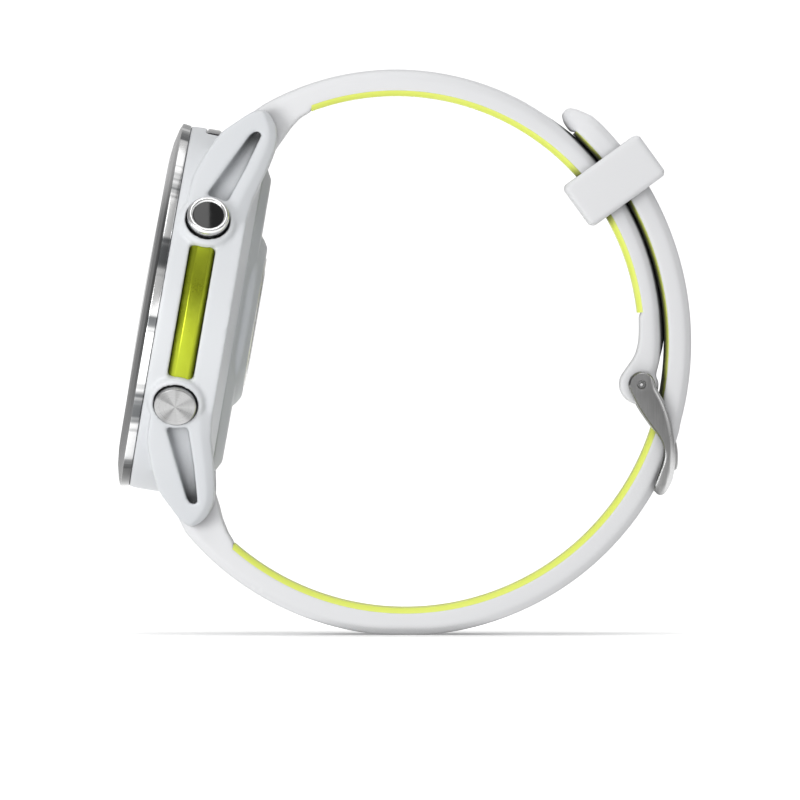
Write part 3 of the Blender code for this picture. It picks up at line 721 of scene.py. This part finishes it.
def lug_outline(bevelled):
    """Side outline of a lug. bevelled replaces the points of its tip and back."""
    front = [(12.03, -1.52), (16.9, -1.52), (20.5, -2.75), (23.3, -4.1), (25.2, -6.1), (26.4, -7.35)]
    back = [(27.0, -8.3), (27.1, -9.1), (26.6, -9.9), (25.2, -11.0), (23.4, -11.4)]
    back += [(22.0, -11.25), (19.3, -10.7), (15.2, -9.55), (12.03, -9.31)]
    return soften(front + list(bevelled or back), 1.0)


def recess_shape(put):
    """A scooped hollow in a lug. Its wall on the crystal's side curves down to the floor."""
    front = [(14.6, -3.4), (19.4, -5.75), (23.35, -7.7), (23.85, -8.05)]
    back = [(24.25, -8.75), (23.9, -9.3), (19.2, -8.0), (14.6, -6.45)]
    rows = []
    for depth, share in ((3.0, 0.0), (0.0, 0.0), (-0.9, 0.06), (-1.5, 0.13), (-2.0, 0.22), (-2.15, 0.33)):
        outline = [lerp(near, far, share) for near, far in zip(front, back[::-1])]
        rows.append([put(a, h, lug_face(a) + depth) for a, h in soften(outline + back, 0.25)])
    return stack(rows)


def root_space():
    """Side outline of the room between two lugs for the strap's root."""
    nose = [on_circle((BAR_REACH, BAR_HEIGHT), 3.1, angle) for angle in even(80, 210, 24)]
    return nose + [(20.75, -10.25), (20.75, -13.0), (31.0, -13.0), (31.0, -5.6)]


def add_lugs(case):
    for side in (1, -1):
        for end in (1, -1):
            def put(along, height, reach, side=side, end=end):
                return (side * reach, end * along, height)

            join(case, lug_rows(put))
            cut(case, recess_shape(put))


def build_case():
    wall = [(0, -10.35), (20.2, -10.35), (23.35, -9.25), (23.4, -6.4), (23.5, -2.3)]
    wall += [(23.45, -0.5), (23.3, -0.17), (0, -0.17)]
    case = solid(revolve(wall, CASE_STEPS))
    add_lugs(case)
    groove = [(22.05, -6.07), (25.0, -6.07), (25.0, -2.73), (22.05, -2.73)]
    cut(case, sweep(groove, -24, 24, 32))
    lamp_pocket = [(22.35, -4.2), (25.0, -4.2), (25.0, -2.3), (22.35, -2.3)]
    cut(case, sweep(lamp_pocket, 77, 103, 20))
    boss = [(0, 21.0), (BOSS_RADIUS, 21.0), (BOSS_RADIUS, 23.75), (BOSS_RADIUS - 0.35, 24.1), (0, 24.1)]
    for angle in BUTTON_ANGLES.values():
        join(case, moved(revolve(boss, 64), button_turn(angle)))
    cavity = [(0, -13), (CAVITY_RADIUS, -13), (CAVITY_RADIUS, -2.0), (20.6, -2.0), (20.6, 1.0), (0, 1.0)]
    cut(case, revolve(cavity, 96))
    bore = [(0, 17.0), (1.6, 17.0), (1.6, 22.0), (2.84, 22.0), (2.84, 26.0), (0, 26.0)]
    for angle in BUTTON_ANGLES.values():
        cut(case, moved(revolve(bore, 64), button_turn(angle)))
    for end in (1, -1):
        def put(along, height, reach, end=end):
            return (reach, end * along, height)

        cut(case, prism(root_space(), -LUG_INNER, LUG_INNER, put))
        hole = moved(disc(0.6, -13.1, 13.1, 24), Z_TO_X)
        cut(case, moved(hole, Matrix.Translation((0, end * BAR_REACH, BAR_HEIGHT))))
    for angle in SCREW_ANGLES:
        join(case, moved(disc(2.0, -9.45, -5.0, 24), shift_round(SCREW_REACH + 0.4, angle)))
        cut(case, moved(disc(0.8, -11.0, -6.4, 24), shift_round(SCREW_REACH, angle)))
    mould(case, CASE_VOXEL)
    show_on_case(case, "case_shell", "case_polymer", "case", "main_case", 60)


def build_front():
    edge = [(17.4, -1.7), (20.3, -1.7), (20.3, -0.15), (23.45, -0.18), (23.6, 0.88), (22.75, 1.24)]
    edge += [(21.0, 1.66), (19.0, 1.88), (18.5, 1.9), (18.5, 0.1), (17.4, 0.1)]
    bezel = solid(revolve(soften(edge, 0.10), RING_STEPS))
    show_on_case(bezel, "bezel", "titanium", "titanium", "bezel_ring")
    glass = [(0, 0.4), (18.25, 0.4), (18.25, 1.6)]
    for a in even(0, pi / 2, 12):
        glass.append((18.0 * cos(a), 1.78 + CRYSTAL_DOME * sin(a) ** 2))
    crystal = solid(revolve(soften(glass, 0.1, False, 4), RING_STEPS))
    show_on_case(crystal, "cover_crystal", "crystal_glass", "crystal", "crystal")
    bar = [(22.3, -5.85), (22.85, -6.0), (23.5, -5.35), (23.5, -3.7), (22.9, -2.8), (22.3, -2.95)]
    accent = solid(sweep(soften(bar, 0.09), -24, 24, 96))
    for angle in (30, -30):
        cut(accent, moved(disc(BOSS_RADIUS - 0.1, 20.0, 26.0, 96), button_turn(angle)))
    show_on_case(accent, "accent_bar", "accent_yellow", "accent", "accent_panel", 25)
    lens = [(22.4, -4.1), (23.4, -4.1), (23.52, -3.9), (23.52, -2.55), (23.4, -2.35), (22.4, -2.35)]
    lamp = solid(sweep(soften(lens, 0.15), 77.6, 102.4, 40))
    show_on_case(lamp, "lamp_lens", "crystal_glass", "lamp", "flashlight_lens", 25)


# ---- back ----


def star(radius, depth, points=6, steps=4):
    """Outline of a star drive."""
    made = []
    for angle in whole_turn(points * 2 * steps):
        reach = radius * (1 - depth * (0.5 - 0.5 * cos(points * angle)))
        made.append(round_z(reach, angle)[:2])
    return made


def build_back():
    rim = [(0, -9.75), (18.8, -9.75), (18.8, -9.9), (17.9, -9.9), (17.9, -10.35), (18.8, -10.35)]
    rim += [(18.8, -10.38), (18.8, -10.15), (20.5, -10.15), (20.3, -10.42), (18.35, -11.45), (0, -11.45)]
    cover = solid(revolve(rim, CASE_STEPS))
    join(cover, ovals((19.2, 11.0, -10.9), (19.2, 11.0, -11.5), (18.9, 10.7, -11.85), (18.2, 9.95, -12.3),
                      (17.9, 9.7, -12.45)))
    cut(cover, ovals((16.6, 8.6, -11.3), (16.6, 8.6, -13.0)))
    seat = [(0, -9.0), (0.8, -9.0), (0.8, -10.7), (1.3, -10.7), (1.3, -12.0), (0, -12.0)]
    for angle in SCREW_ANGLES:
        cut(cover, moved(revolve(seat, 40), shift_round(SCREW_REACH, angle)))
    for x, y in CHARGING_SPOTS:
        cut(cover, moved(disc(0.85, -12.0, -9.0, 32), Matrix.Translation((x, y, 0))))
    mould(cover, 0.2, 4)
    show_on_case(cover, "rear_cover", "cover_polymer", "cover", "back_cover", 60)
    glass = ovals((14.9, 6.9, -11.5), (14.9, 6.9, -12.55), (14.85, 6.85, -12.65), (14.7, 6.7, -12.7))
    show_on_case(solid(glass), "sensor_glass", "black_glass", "black_glass", "sensor_window")
    electrode = solid(ovals((16.4, 8.4, -11.5), (16.4, 8.4, -12.48), (16.32, 8.32, -12.57),
                            (16.2, 8.2, -12.6)))
    cut(electrode, ovals((15.1, 7.1, -11.0), (15.1, 7.1, -13.0)))
    show_on_case(electrode, "electrode_ring", "polished_metal", "steel", "contact_ring")
    profile = soften([(0, -9.9), (0.65, -9.9), (0.65, -11.4), (0, -11.4)], 0.12, False)
    for number, (x, y) in enumerate(CHARGING_SPOTS, 1):
        pad = moved(revolve(profile, 48), Matrix.Translation((x, y, 0)))
        show_on_case(solid(pad), f"charging_pad_{number}", "gold_contact", "gold",
                     f"charging_contact_{number}")
    profile = [(0, -7.0), (0.6, -7.0), (0.6, -10.85), (1.1, -10.85), (1.1, -11.35), (0, -11.35)]
    for number, angle in enumerate(SCREW_ANGLES, 1):
        seat = shift_round(SCREW_REACH, angle)
        screw = solid(moved(revolve(soften(profile, 0.08, False), 48), seat))
        drive = prism(star(0.62, 0.28), -12.0, -11.05, lambda x, y, z: (x, y, z))
        cut(screw, moved(drive, seat))
        show_on_case(screw, f"cover_screw_{number}", "brushed_metal", "steel", f"back_screw_{number}")


def ovals(*levels):
    """A solid through (half width, half height, level) oblongs."""
    return stack([oval(*level) for level in levels])


# ---- buttons ----


def wave_spring(inner, outer, low, high, thick=0.18, waves=3, steps=72):
    """A closed flat ring whose surface waves round between two heights."""
    points = []
    swing = (high - low - thick) / 2
    for angle in whole_turn(steps):
        middle = (low + high) / 2 + swing * sin(waves * angle)
        for radius, lift in ((inner, -0.5), (outer, -0.5), (outer, 0.5), (inner, 0.5)):
            points.append(round_z(radius, angle, middle + lift * thick))
    faces = []
    for i in range(steps):
        after = 4 if i < steps - 1 else -4 * (steps - 1)
        for k in range(4):
            a, b = 4 * i + k, 4 * i + (k + 1) % 4
            faces.append([a, b, b + after, a + after])
    return points, faces


def build_button(name, angle):
    turn = CASE_PLACE @ button_turn(angle, MM)
    body = name + "_button_body"
    spring = show(solid(wave_spring(1.5, 2.4, *SPRING_ROOM)), name + "_wave_spring", "case", "brushed_metal",
                  "steel", name + "_spring", place=turn)
    foot, head = (turn @ Vector((0.0, 0.0, level * MM)) for level in SPRING_ROOM)
    tuple(foot)
    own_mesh(spring)
    stem = [(0, 17.95), (0.85, 17.95), (1.0, 18.1), (1.0, 23.2), (CAP_RADIUS - 0.1, 23.2), (CAP_RADIUS, 23.3)]
    if name == "upper_right":
        build_ringed_cap(name, body, stem, turn)
        return
    top = 24.55 if name == "middle_left" else 24.75
    crown = [(CAP_RADIUS, top - 0.2), (CAP_RADIUS - 0.05, top - 0.08), (CAP_RADIUS - 0.16, top)]
    face = [(2.3, top - 0.03), (1.7, top - 0.06), (1.0, top - 0.09), (0.3, top - 0.1), (0, top - 0.1)]
    show(solid(revolve(stem + crown + face, BUTTON_STEPS)), name + "_cap", body, "brushed_metal", "spun",
         name + "_button", place=turn)


def build_ringed_cap(name, body, stem, turn):
    """The polished cap with a rounded rim, and the black domed disc inside it."""
    crown = []
    for around in even(0, pi, 16):
        crown.append((2.29 + 0.41 * cos(around), RIM_LEVEL + 0.5 * sin(around)))
    show(solid(revolve(stem + crown + [(0, RIM_LEVEL)], BUTTON_STEPS)), name + "_cap", body,
         "polished_metal", "polished", name + "_button", place=turn, crease=50)
    dome = [(0, 24.8), (1.9, 24.8)]
    for share in even(1, 0, 12):
        dome.append((1.9 * share, 25.24 - 0.05 * share ** 2))
    show(solid(revolve(dome, BUTTON_STEPS)), name + "_inset", body, "black_glass", "inset",
         name + "_button_inset", place=turn)


# ---- straps ----


def liner_row(inner, outer, half, lean=1.0):
    """One cross-section of the inner layer, whose edges lean in towards the wrist."""
    row = [in_world(*inner, (half - 0.6 * lean) * k / 4) for k in range(-4, 5)]
    for share, rim in ((0.3, 0.36 * lean), (0.65, 0.2 * lean - 0.06), (1.0, 0.2 * lean - 0.15)):
        row.append(in_world(*lerp(inner, outer, share), half - rim))
    return row + [(x, -y, z) for x, y, z in row[:8:-1]]


def strap_row(inner, outer, half, edge_in=0.15, edge_out=0.9, crown=0.0):
    """One cross-section of a strap: flat inside, chamfered outside, and raised by crown in its middle."""
    span = dist(inner, outer)
    edge_in = min(edge_in, span * 0.4)
    edge_out = min(edge_out, span * 0.35)
    slope = edge_out * 0.8

    def at(share, y):
        return in_world(*lerp(inner, outer, share), y)

    low, high = edge_in / span, 1 - edge_out / span
    side = [(low, half), ((low + high) / 2, half), (high, half), ((high + 1) / 2, half - slope / 2)]
    row = [at(0, (half - edge_in) * k / 4) for k in range(-4, 5)]
    row += [at(share, y) for share, y in side]
    row += [at(1 + crown / span * (1 - (k / 4) ** 2), (half - slope) * -k / 4) for k in range(-4, 5)]
    return row + [at(share, -y) for share, y in side[::-1]]


def arc_row(centre, low, high, angle, half=STRAP_HALF, **shape):
    """A strap's cross-section between two radii, at an angle of its arc."""
    return strap_row(on_circle(centre, low, angle), on_circle(centre, high, angle), half, **shape)


def arc_liner(centre, low, angle, half=STRAP_HALF, lean=1.0):
    """The inner layer's cross-section, from its wrist side outwards."""
    return liner_row(on_circle(centre, low, angle), on_circle(centre, low + LINER_BURIED, angle), half, lean)


def root_rows(at, bulge):
    """Cross-sections of the rounded root, from its nose back to the spring bar."""
    rows = []
    for angle in (12, 20, 30, 45, 60, 75, 90):
        back, side, _ = round_z(-1.0, radians(angle))
        inner = 2.6 + bulge * max(0.0, (angle - 60) / 30)
        rows.append(strap_row(at(inner * back, inner * side), at(2.6 * back, -2.6 * side), STRAP_HALF))
    return rows


def between(rows, times=3):
    """The rows with more of them blended in between, so that the strap curves smoothly."""
    made = []
    for i in range(len(rows) - 1):
        near = [rows[max(i - 1, 0)], rows[i], rows[i + 1], rows[min(i + 2, len(rows) - 1)]]
        for k in range(times):
            made.append([tuple(spline(*map(Vector, points), k / times)) for points in zip(*near)])
    return made + [rows[-1]]


def bar_bore(point, radius, half=15):
    """A round hole along Y at an (x, z) point."""
    return moved(disc(radius, -half, half, 48), Matrix.Translation((point[0], 0, point[1])) @ Z_TO_Y)


def root_frame(end, centre, turn):
    """A function for the (x, z) point that is so far along a strap, and out of it, from its spring bar."""
    bar = Vector(case_point(end * BAR_REACH, BAR_HEIGHT))
    out = (bar - Vector(centre)).normalized()
    along = Vector((-turn * out.y, turn * out.x))
    return lambda a, b: tuple(bar + a * along + b * out)


def finish_strap(strap, at, name, node, lever):
    """Cuts the spring bar's bore and its lever's slot, and shows the lever and the strap."""
    cut(strap, bar_bore(at(0, 0), 0.9))
    slot = [at(a, b) for a, b in ((-0.75, -4.5), (0.75, -4.5), (0.75, 0.0), (-0.75, 0.0))]
    cut(strap, prism(slot, -9.0, -4.0, in_world))
    mould(strap, STRAP_VOXEL, 4)
    build_release_tab(lever, at)
    show(strap, name, node + "_body", "silicone_white", "white", node, crease=70)


def show_lining(lining, name, node):
    show(lining, name + "_liner", node + "_body", "silicone_yellow", "yellow", node + "_liner")
    lining.visible_diffuse = False


def short_out(angle):
    """Outer radius of the buckle strap, a little thinner where the tail lies over it."""
    return SHORT_OUT - 0.45 * ramp(angle, 60, 10)


def short_crown(angle):
    """How far the middle of the buckle strap's outer face rises: under the tail, nearly up to it."""
    a = radians(angle)
    shift = Vector(SHORT_CENTRE) - Vector(TAIL_CENTRE)
    run = shift.x * cos(a) + shift.y * sin(a)
    tail = sqrt(run * run - shift.length_squared + TAIL_IN ** 2) - run
    room = tail - short_out(angle) - 0.02
    return SHORT_CROWN * ramp(angle, 50, 60) + room * ramp(angle, 58, 48) * ramp(angle, -4, -1)


def build_short_strap():
    at = root_frame(1, SHORT_CENTRE, -1)
    rows = root_rows(at, 0.7)
    for angle, inner in ((119.5, 29.4), (116.5, 30.2), (113.5, 30.85), (110.6, SHORT_IN)):
        rows.append(arc_row(SHORT_CENTRE, inner, SHORT_OUT, angle, crown=SHORT_CROWN))
    for angle in even(110.0, 5.8, 45):
        rows.append(arc_row(SHORT_CENTRE, SHORT_IN + BONDED, short_out(angle), angle,
                            crown=short_crown(angle)))
    end = []
    neck = (((30.1, 40.8), 5.0), ((30.12, 38.6), 0.6), ((29.95, 37.0), -2.2), ((29.45, 35.5), -4.8))
    for inner, angle in neck:
        outer = on_circle(SHORT_CENTRE, short_out(angle), angle)
        end.append(strap_row(inner, outer, STRAP_HALF, crown=short_crown(angle)))
    boss = (30.05, 32.0)
    for turn_in, turn_out in ((140, 30), (165, 8), (195, -22), (225, -52), (245, -75), (257, -88)):
        end.append(strap_row(on_circle(boss, 2.5, turn_in), on_circle(boss, 2.5, turn_out), STRAP_HALF))
    strap = solid(stack(rows + between(end)))
    cut(strap, bar_bore(BUCKLE_PIN, 0.8))
    fork = [(27.0, 28.5), (33.5, 28.5), (33.5, 32.4), (32.4, 34.3), (27.0, 34.3)]
    cut(strap, prism(fork, -1.4, 1.4, in_world))
    finish_strap(strap, at, "buckle_strap", "short_strap", "upper")
    liner = [arc_liner(SHORT_CENTRE, SHORT_IN, angle) for angle in even(110.4, 6.1, 59)]
    show_lining(solid(stack(liner)), "buckle_strap", "short_strap")


def tail_half(angle):
    """Half the tail's width, rounded in towards its tip."""
    share = ramp(angle, 43.0, 52.0)
    return STRAP_HALF - 5.0 * (1 - sqrt(1 - 0.98 * share * share))


def tongue_outline(grow):
    """Side outline of the buckle's tongue. grow widens it for the slot that it lies in."""
    outer = [(31.6, 31.6), (33.0, 29.2), (34.15, 26.9), (34.75, 25.2), (35.05, 23.6), (35.1, 22.2)]
    outer.append((34.95, 21.2))
    inner = [(34.45, 21.1), (34.2, 22.4), (33.75, 23.8), (32.9, 25.6), (31.6, 27.6), (30.0, 29.8)]
    inner.append((29.3, 31.2))
    outline = [(x + grow, z + grow * 0.5) for x, z in outer]
    return outline + [(x - grow, z - grow * 0.5) for x, z in inner]


def hole_cutters():
    """Oval strap holes, six millimetres apart, on both sides of the one that the tongue is in."""
    outline = [(1.7 * cos(angle), 1.2 * sin(angle)) for angle in whole_turn(32)]
    holes = []
    places = [(TAIL_CENTRE, 38.0, angle) for angle in (40.0, 31.0, 22.0, 13.0, 4.0, -5.0)]
    places += [(LONG_CENTRE, 34.8, angle) for angle in (-34.0, -43.5, -53.0, -62.5, -72.0, -81.5)]
    for centre, radius, angle in places:
        out, along, middle = arc_frame(centre, angle)

        def put(u, v, w, out=out, along=along, middle=middle + radius * out):
            return tuple(middle + u * along + Vector((0, v, 0)) + w * out)

        holes.append(prism(outline, -4.0, 4.0, put))
    return holes


def arc_frame(centre, angle):
    """Directions out of an arc and along it in the world, and the arc's centre."""
    a = radians(angle)
    out = Vector((cos(a), 0, sin(a)))
    along = Vector((-sin(a), 0, cos(a)))
    return out, along, Vector((centre[0], 0, centre[1]))


def long_out(angle):
    """Outer radius of the hole strap, flattened where it stands on the floor."""
    down = -sin(radians(angle))
    return min(LONG_OUT, LONG_CENTRE[1] / down) if down > 0.5 else LONG_OUT


def build_long_strap():
    at = root_frame(-1, LONG_CENTRE, 1)
    rows = root_rows(at, 0.55)
    for angle, inner in ((-140.2, 31.1), (-137.0, 32.0), (-134.0, 32.7), (-131.6, LONG_IN)):
        rows.append(arc_row(LONG_CENTRE, inner, long_out(angle), angle))
    liner = [arc_liner(LONG_CENTRE, LONG_IN, -131.4)]
    for angle in even(-131.0, JOIN_ANGLE, 60):
        rows.append(arc_row(LONG_CENTRE, LONG_IN + BONDED, long_out(angle), angle))
        liner.append(arc_liner(LONG_CENTRE, LONG_IN, angle))
    for i, angle in enumerate(even(JOIN_ANGLE, 47.3, 34)[1:], 1):
        half = tail_half(angle)
        high = TAIL_OUT - 0.08 * max(0.0, angle - 46.0)
        rows.append(arc_row(TAIL_CENTRE, TAIL_IN + BONDED, high, angle, half))
        liner.append(arc_liner(TAIL_CENTRE, TAIL_IN, angle, half, 1.0 + 1.3 * min(1.0, i / 5)))
    tip = ((47.9, 36.33, 39.42), (49.0, 36.42, 39.2), (50.4, 36.7, 38.85), (51.6, 37.3, 38.3))
    end = [arc_row(TAIL_CENTRE, low, high, angle, tail_half(angle), edge_in=1.2) for angle, low, high in tip]
    strap = solid(stack(rows + between(end)))
    lining = solid(stack(liner))
    for hole in [prism(tongue_outline(0.35), -1.35, 1.35, in_world)] + hole_cutters():
        cut(strap, hole)
        cut(lining, hole)
    finish_strap(strap, at, "hole_strap", "long_strap", "lower")
    show_lining(lining, "hole_strap", "long_strap")


def build_release_tab(name, at):
    """The little lever of a quick-release spring bar, with a rounded thumb end."""
    corners = [(-0.5, -3.15), (0.5, -3.15), (0.5, -1.0), (-0.5, -1.0)]
    rows = []
    for y, inset in ((-8.6, 0.12), (-8.5, 0.03), (-8.38, 0.0), (-6.82, 0.0), (-6.7, 0.03), (-6.6, 0.12)):
        outline = shrunk(soften(corners, 0.35, True, 4), inset)
        rows.append([in_world(*at(a, b), y) for a, b in outline])
    show(solid(stack(rows)), name + "_release_tab", name + "_lever_body", "brushed_metal", "steel",
         name + "_release_lever")


def build_keeper():
    """A squared loop round both straps."""
    out, along, middle = arc_frame(SHORT_CENTRE, KEEPER_ANGLE)

    def loop(low, high, half, reach, edge):
        rows = []
        for along_by, shrink in ((-reach, edge), (-reach + edge, 0), (reach - edge, 0), (reach, edge)):
            corners = [(low + shrink, shrink - half), (high - shrink, shrink - half),
                       (high - shrink, half - shrink), (low + shrink, half - shrink)]
            rows.append([tuple(middle + u * out + Vector((0, v, 0)) + along_by * along)
                         for u, v in soften(corners, edge * 1.6, True, 6)])
        return stack(rows)

    keeper = solid(loop(28.6, 40.45, 13.1, KEEPER_HALF, 0.45))
    cut(keeper, loop(30.5, 38.45, 11.35, 8.0, 0.2))
    mould(keeper, 0.2, 5)
    show(keeper, "keeper_loop", "keeper_body", "silicone_white", "white", "strap_keeper", crease=70)


# ---- buckle ----


def arm_outlines():
    """Side outline of a buckle arm, and the one of its flat face, which ends in a point above the foot."""
    head = [on_circle(BUCKLE_PIN, 1.7, angle) for angle in (20, 50, 80, 110, 140, 170, 200)]
    inner = [(29.9, 29.1), (31.3, 27.0), (32.5, 25.4), (33.05, 24.2), (33.0, 22.7), (32.6, 21.2)]
    foot = [(32.15, 19.8), (32.0, 18.8), (32.2, 18.18), (32.7, 17.92), (33.25, 18.1), (33.7, 18.7)]
    foot += [(34.25, 19.8), (34.6, 21.5)]
    outer = [(34.65, 23.5), (34.5, 25.2), (34.05, 27.5), (33.25, 29.8), (32.3, 31.6)]
    face = [on_circle(BUCKLE_PIN, 1.4, angle) for angle in (35, 55, 80, 110, 140, 170, 198)]
    face += [(30.2, 29.15), (31.55, 27.1), (32.75, 25.45), (33.3, 24.2), (33.55, 23.2), (33.68, 22.85)]
    face += [(33.74, 22.68 - 0.01 * k) for k in range(4)] + [(33.80, 22.65 + 0.01 * k) for k in range(3)]
    face += [(33.85, 22.9), (33.95, 23.9), (33.85, 25.2), (33.4, 27.3), (32.65, 29.5), (31.75, 31.3)]
    return flowing(head + inner + foot + outer), flowing(face)


def arm_plate():
    """One buckle arm: straight sides, a rounded shoulder, and the flat face."""
    outline, face = arm_outlines()
    shoulder = ((11.3, 0.0), (11.9, 0.0), (12.1, 0.08), (12.3, 0.27), (12.47, 0.55), (12.56, 0.8))
    rows = []
    for y, share in shoulder + ((12.6, 1.0),):
        rows.append([in_world(*lerp(a, b, share), y) for a, b in zip(outline, face)])
    return stack(rows)


def build_buckle():
    arm = arm_plate()
    frame_loop = solid(arm)
    join(frame_loop, moved(arm, Matrix.Scale(-1, 4, (0, 1, 0))))
    bar = [(33.65, 21.1), (32.8, 19.5), (32.45, 18.6), (32.7, 18.15), (33.05, 18.2)]
    bar += [(33.65, 18.85), (34.25, 19.8), (34.45, 20.9), (34.2, 21.3)]
    join(frame_loop, prism(flowing(bar, 4), -11.9, 11.9, in_world))
    notch = [(33.75, 20.2), (36.0, 20.2), (36.0, 22.5), (33.75, 22.5)]
    cut(frame_loop, prism(notch, -1.3, 1.3, in_world))
    cut(frame_loop, bar_bore(BUCKLE_PIN, 0.58))
    show(frame_loop, "buckle_loop", "buckle_body", "brushed_metal", "buckle", "buckle_frame", crease=22)
    at_pin = Matrix.Translation((BUCKLE_PIN[0], 0, BUCKLE_PIN[1])) @ Z_TO_Y
    end = [(0.7, 11.2), (0.56, 11.3), (0.56, 11.7), (0.27, 11.75), (0.25, 12.4), (0.18, 12.48)]
    profile = [(0, -12.5)] + [(r, -y) for r, y in end[::-1]] + end + [(0, 12.5)]
    show(solid(moved(revolve(profile, 48), at_pin)), "hinge_pin", "buckle_body", "brushed_metal", "steel",
         "buckle_pin")
    levels = ((-1.0, 0.14), (-0.95, 0.05), (-0.84, 0.0), (0.84, 0.0), (0.95, 0.05), (1.0, 0.14))
    tongue = solid(plate(flowing(tongue_outline(0.0)[::-1], 4), levels))
    eye = soften([(0, -1.1), (1.5, -1.1), (1.5, 1.1), (0, 1.1)], 0.2, False)
    join(tongue, moved(revolve(eye, 64), at_pin))
    cut(tongue, bar_bore(BUCKLE_PIN, 0.8))
    show(tongue, "prong", "tongue_body", "brushed_metal", "buckle", "buckle_tongue", crease=30)


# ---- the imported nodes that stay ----


def dress_nodes():
    """Procedural materials for the CAD nodes that are shown as they are."""
    looks = {
        "black": ["display_module", "speaker"],
        "board": ["sensor_board", "main_board"],
        "cell": ["battery"],
        "gold": ["gps_antenna", "switch_flex_right", "switch_flex_left"],
        "rubber": ["back_gasket"] + [name + "_seal" for name in BUTTON_ANGLES],
        "steel": ["vibration_motor", "upper_spring_bar", "lower_spring_bar"]
                 + [name + "_clip" for name in BUTTON_ANGLES],
    }
    for look, names in looks.items():
        for name in names:
            paint(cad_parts[name].data, look)


# ---- stage ----


def build_stage():
    mesh = bpy.data.meshes.new("floor")
    grid = bmesh.new()
    bmesh.ops.create_grid(grid, x_segments=24, y_segments=24, size=FLOOR_SIDE / 2)
    grid.to_mesh(mesh)
    grid.free()
    paint(mesh, "floor")
    floor = add("floor", mesh)
    floor.location.z = cad_box[0].z - 0.00002
    floor.visible_diffuse = False


def add_light(name, place, aim, size, power):
    lamp = bpy.data.lights.new(name, "AREA")
    lamp.shape = "RECTANGLE"
    lamp.size, lamp.size_y = size
    lamp.energy = power
    obj = add(name, lamp)
    obj.location = place
    obj.rotation_euler = (Vector(aim) - Vector(place)).to_track_quat("-Z", "Y").to_euler()
    obj.visible_camera = False


def build_lights():
    """Soft lamps, and a plain studio round them with a brightness for each direction."""
    centre = (0.0, 0.0, 0.036)
    add_light("key", (-0.009, -0.327, 0.569), (-0.027, -0.021, 0.053), (0.147, 0.30), 0.55)
    add_light("top", (0.0, 0.05, 0.62), centre, (0.5, 0.5), 0.6)
    add_light("left", (-0.13, -0.18, 0.03), centre, (0.10, 0.10), 0.22)
    add_light("right", (0.40, -0.14, 0.23), centre, (0.24, 0.24), 0.16)
    world = bpy.data.worlds.new("studio")
    bpy.context.scene.world = world
    world.use_nodes = True
    world.node_tree.nodes.clear()
    studio = Nodes(world.node_tree)
    level = STUDIO_LEVEL
    for direction, edge, full, value in STUDIO_AREAS:
        here = studio.node("TexCoord").outputs["Generated"]
        dot = studio.node("VectorMath", here, direction, operation="DOT_PRODUCT")
        towards = studio.remap(dot.outputs["Value"], edge, full, smooth=True)
        level = studio.blend(towards, level, value, "FLOAT")
    seen = studio.node("LightPath").outputs["Is Camera Ray"]
    level = studio.blend(seen, level, BACKDROP_LEVEL, "FLOAT")
    studio.node("OutputWorld", studio.node("Background", grey(1.0), level).outputs[0])
    bpy.context.scene.view_settings.view_transform = "Standard"


def build_camera():
    """A long lens looking along +Y, a fraction of a degree above the horizon."""
    camera = bpy.data.cameras.new("camera")
    camera.lens = CAMERA_LENS
    camera.sensor_width = CAMERA_SENSOR
    camera.clip_start, camera.clip_end = 0.1, 40.0
    obj = add("camera", camera)
    back = Vector((0.0, -cos(CAMERA_RISE), sin(CAMERA_RISE)))
    obj.location = Vector(CAMERA_TARGET) + back * (VIEW_WIDTH * CAMERA_LENS / CAMERA_SENSOR)
    obj.rotation_euler = (-back).to_track_quat("-Z", "Y").to_euler()
    bpy.context.scene.camera = obj


def main():
    build_case()
    build_front()
    build_back()
    for name, angle in BUTTON_ANGLES.items():
        build_button(name, angle)
    build_short_strap()
    build_long_strap()
    build_keeper()
    build_buckle()
    dress_nodes()
    build_stage()
    build_lights()
    build_camera()


main()
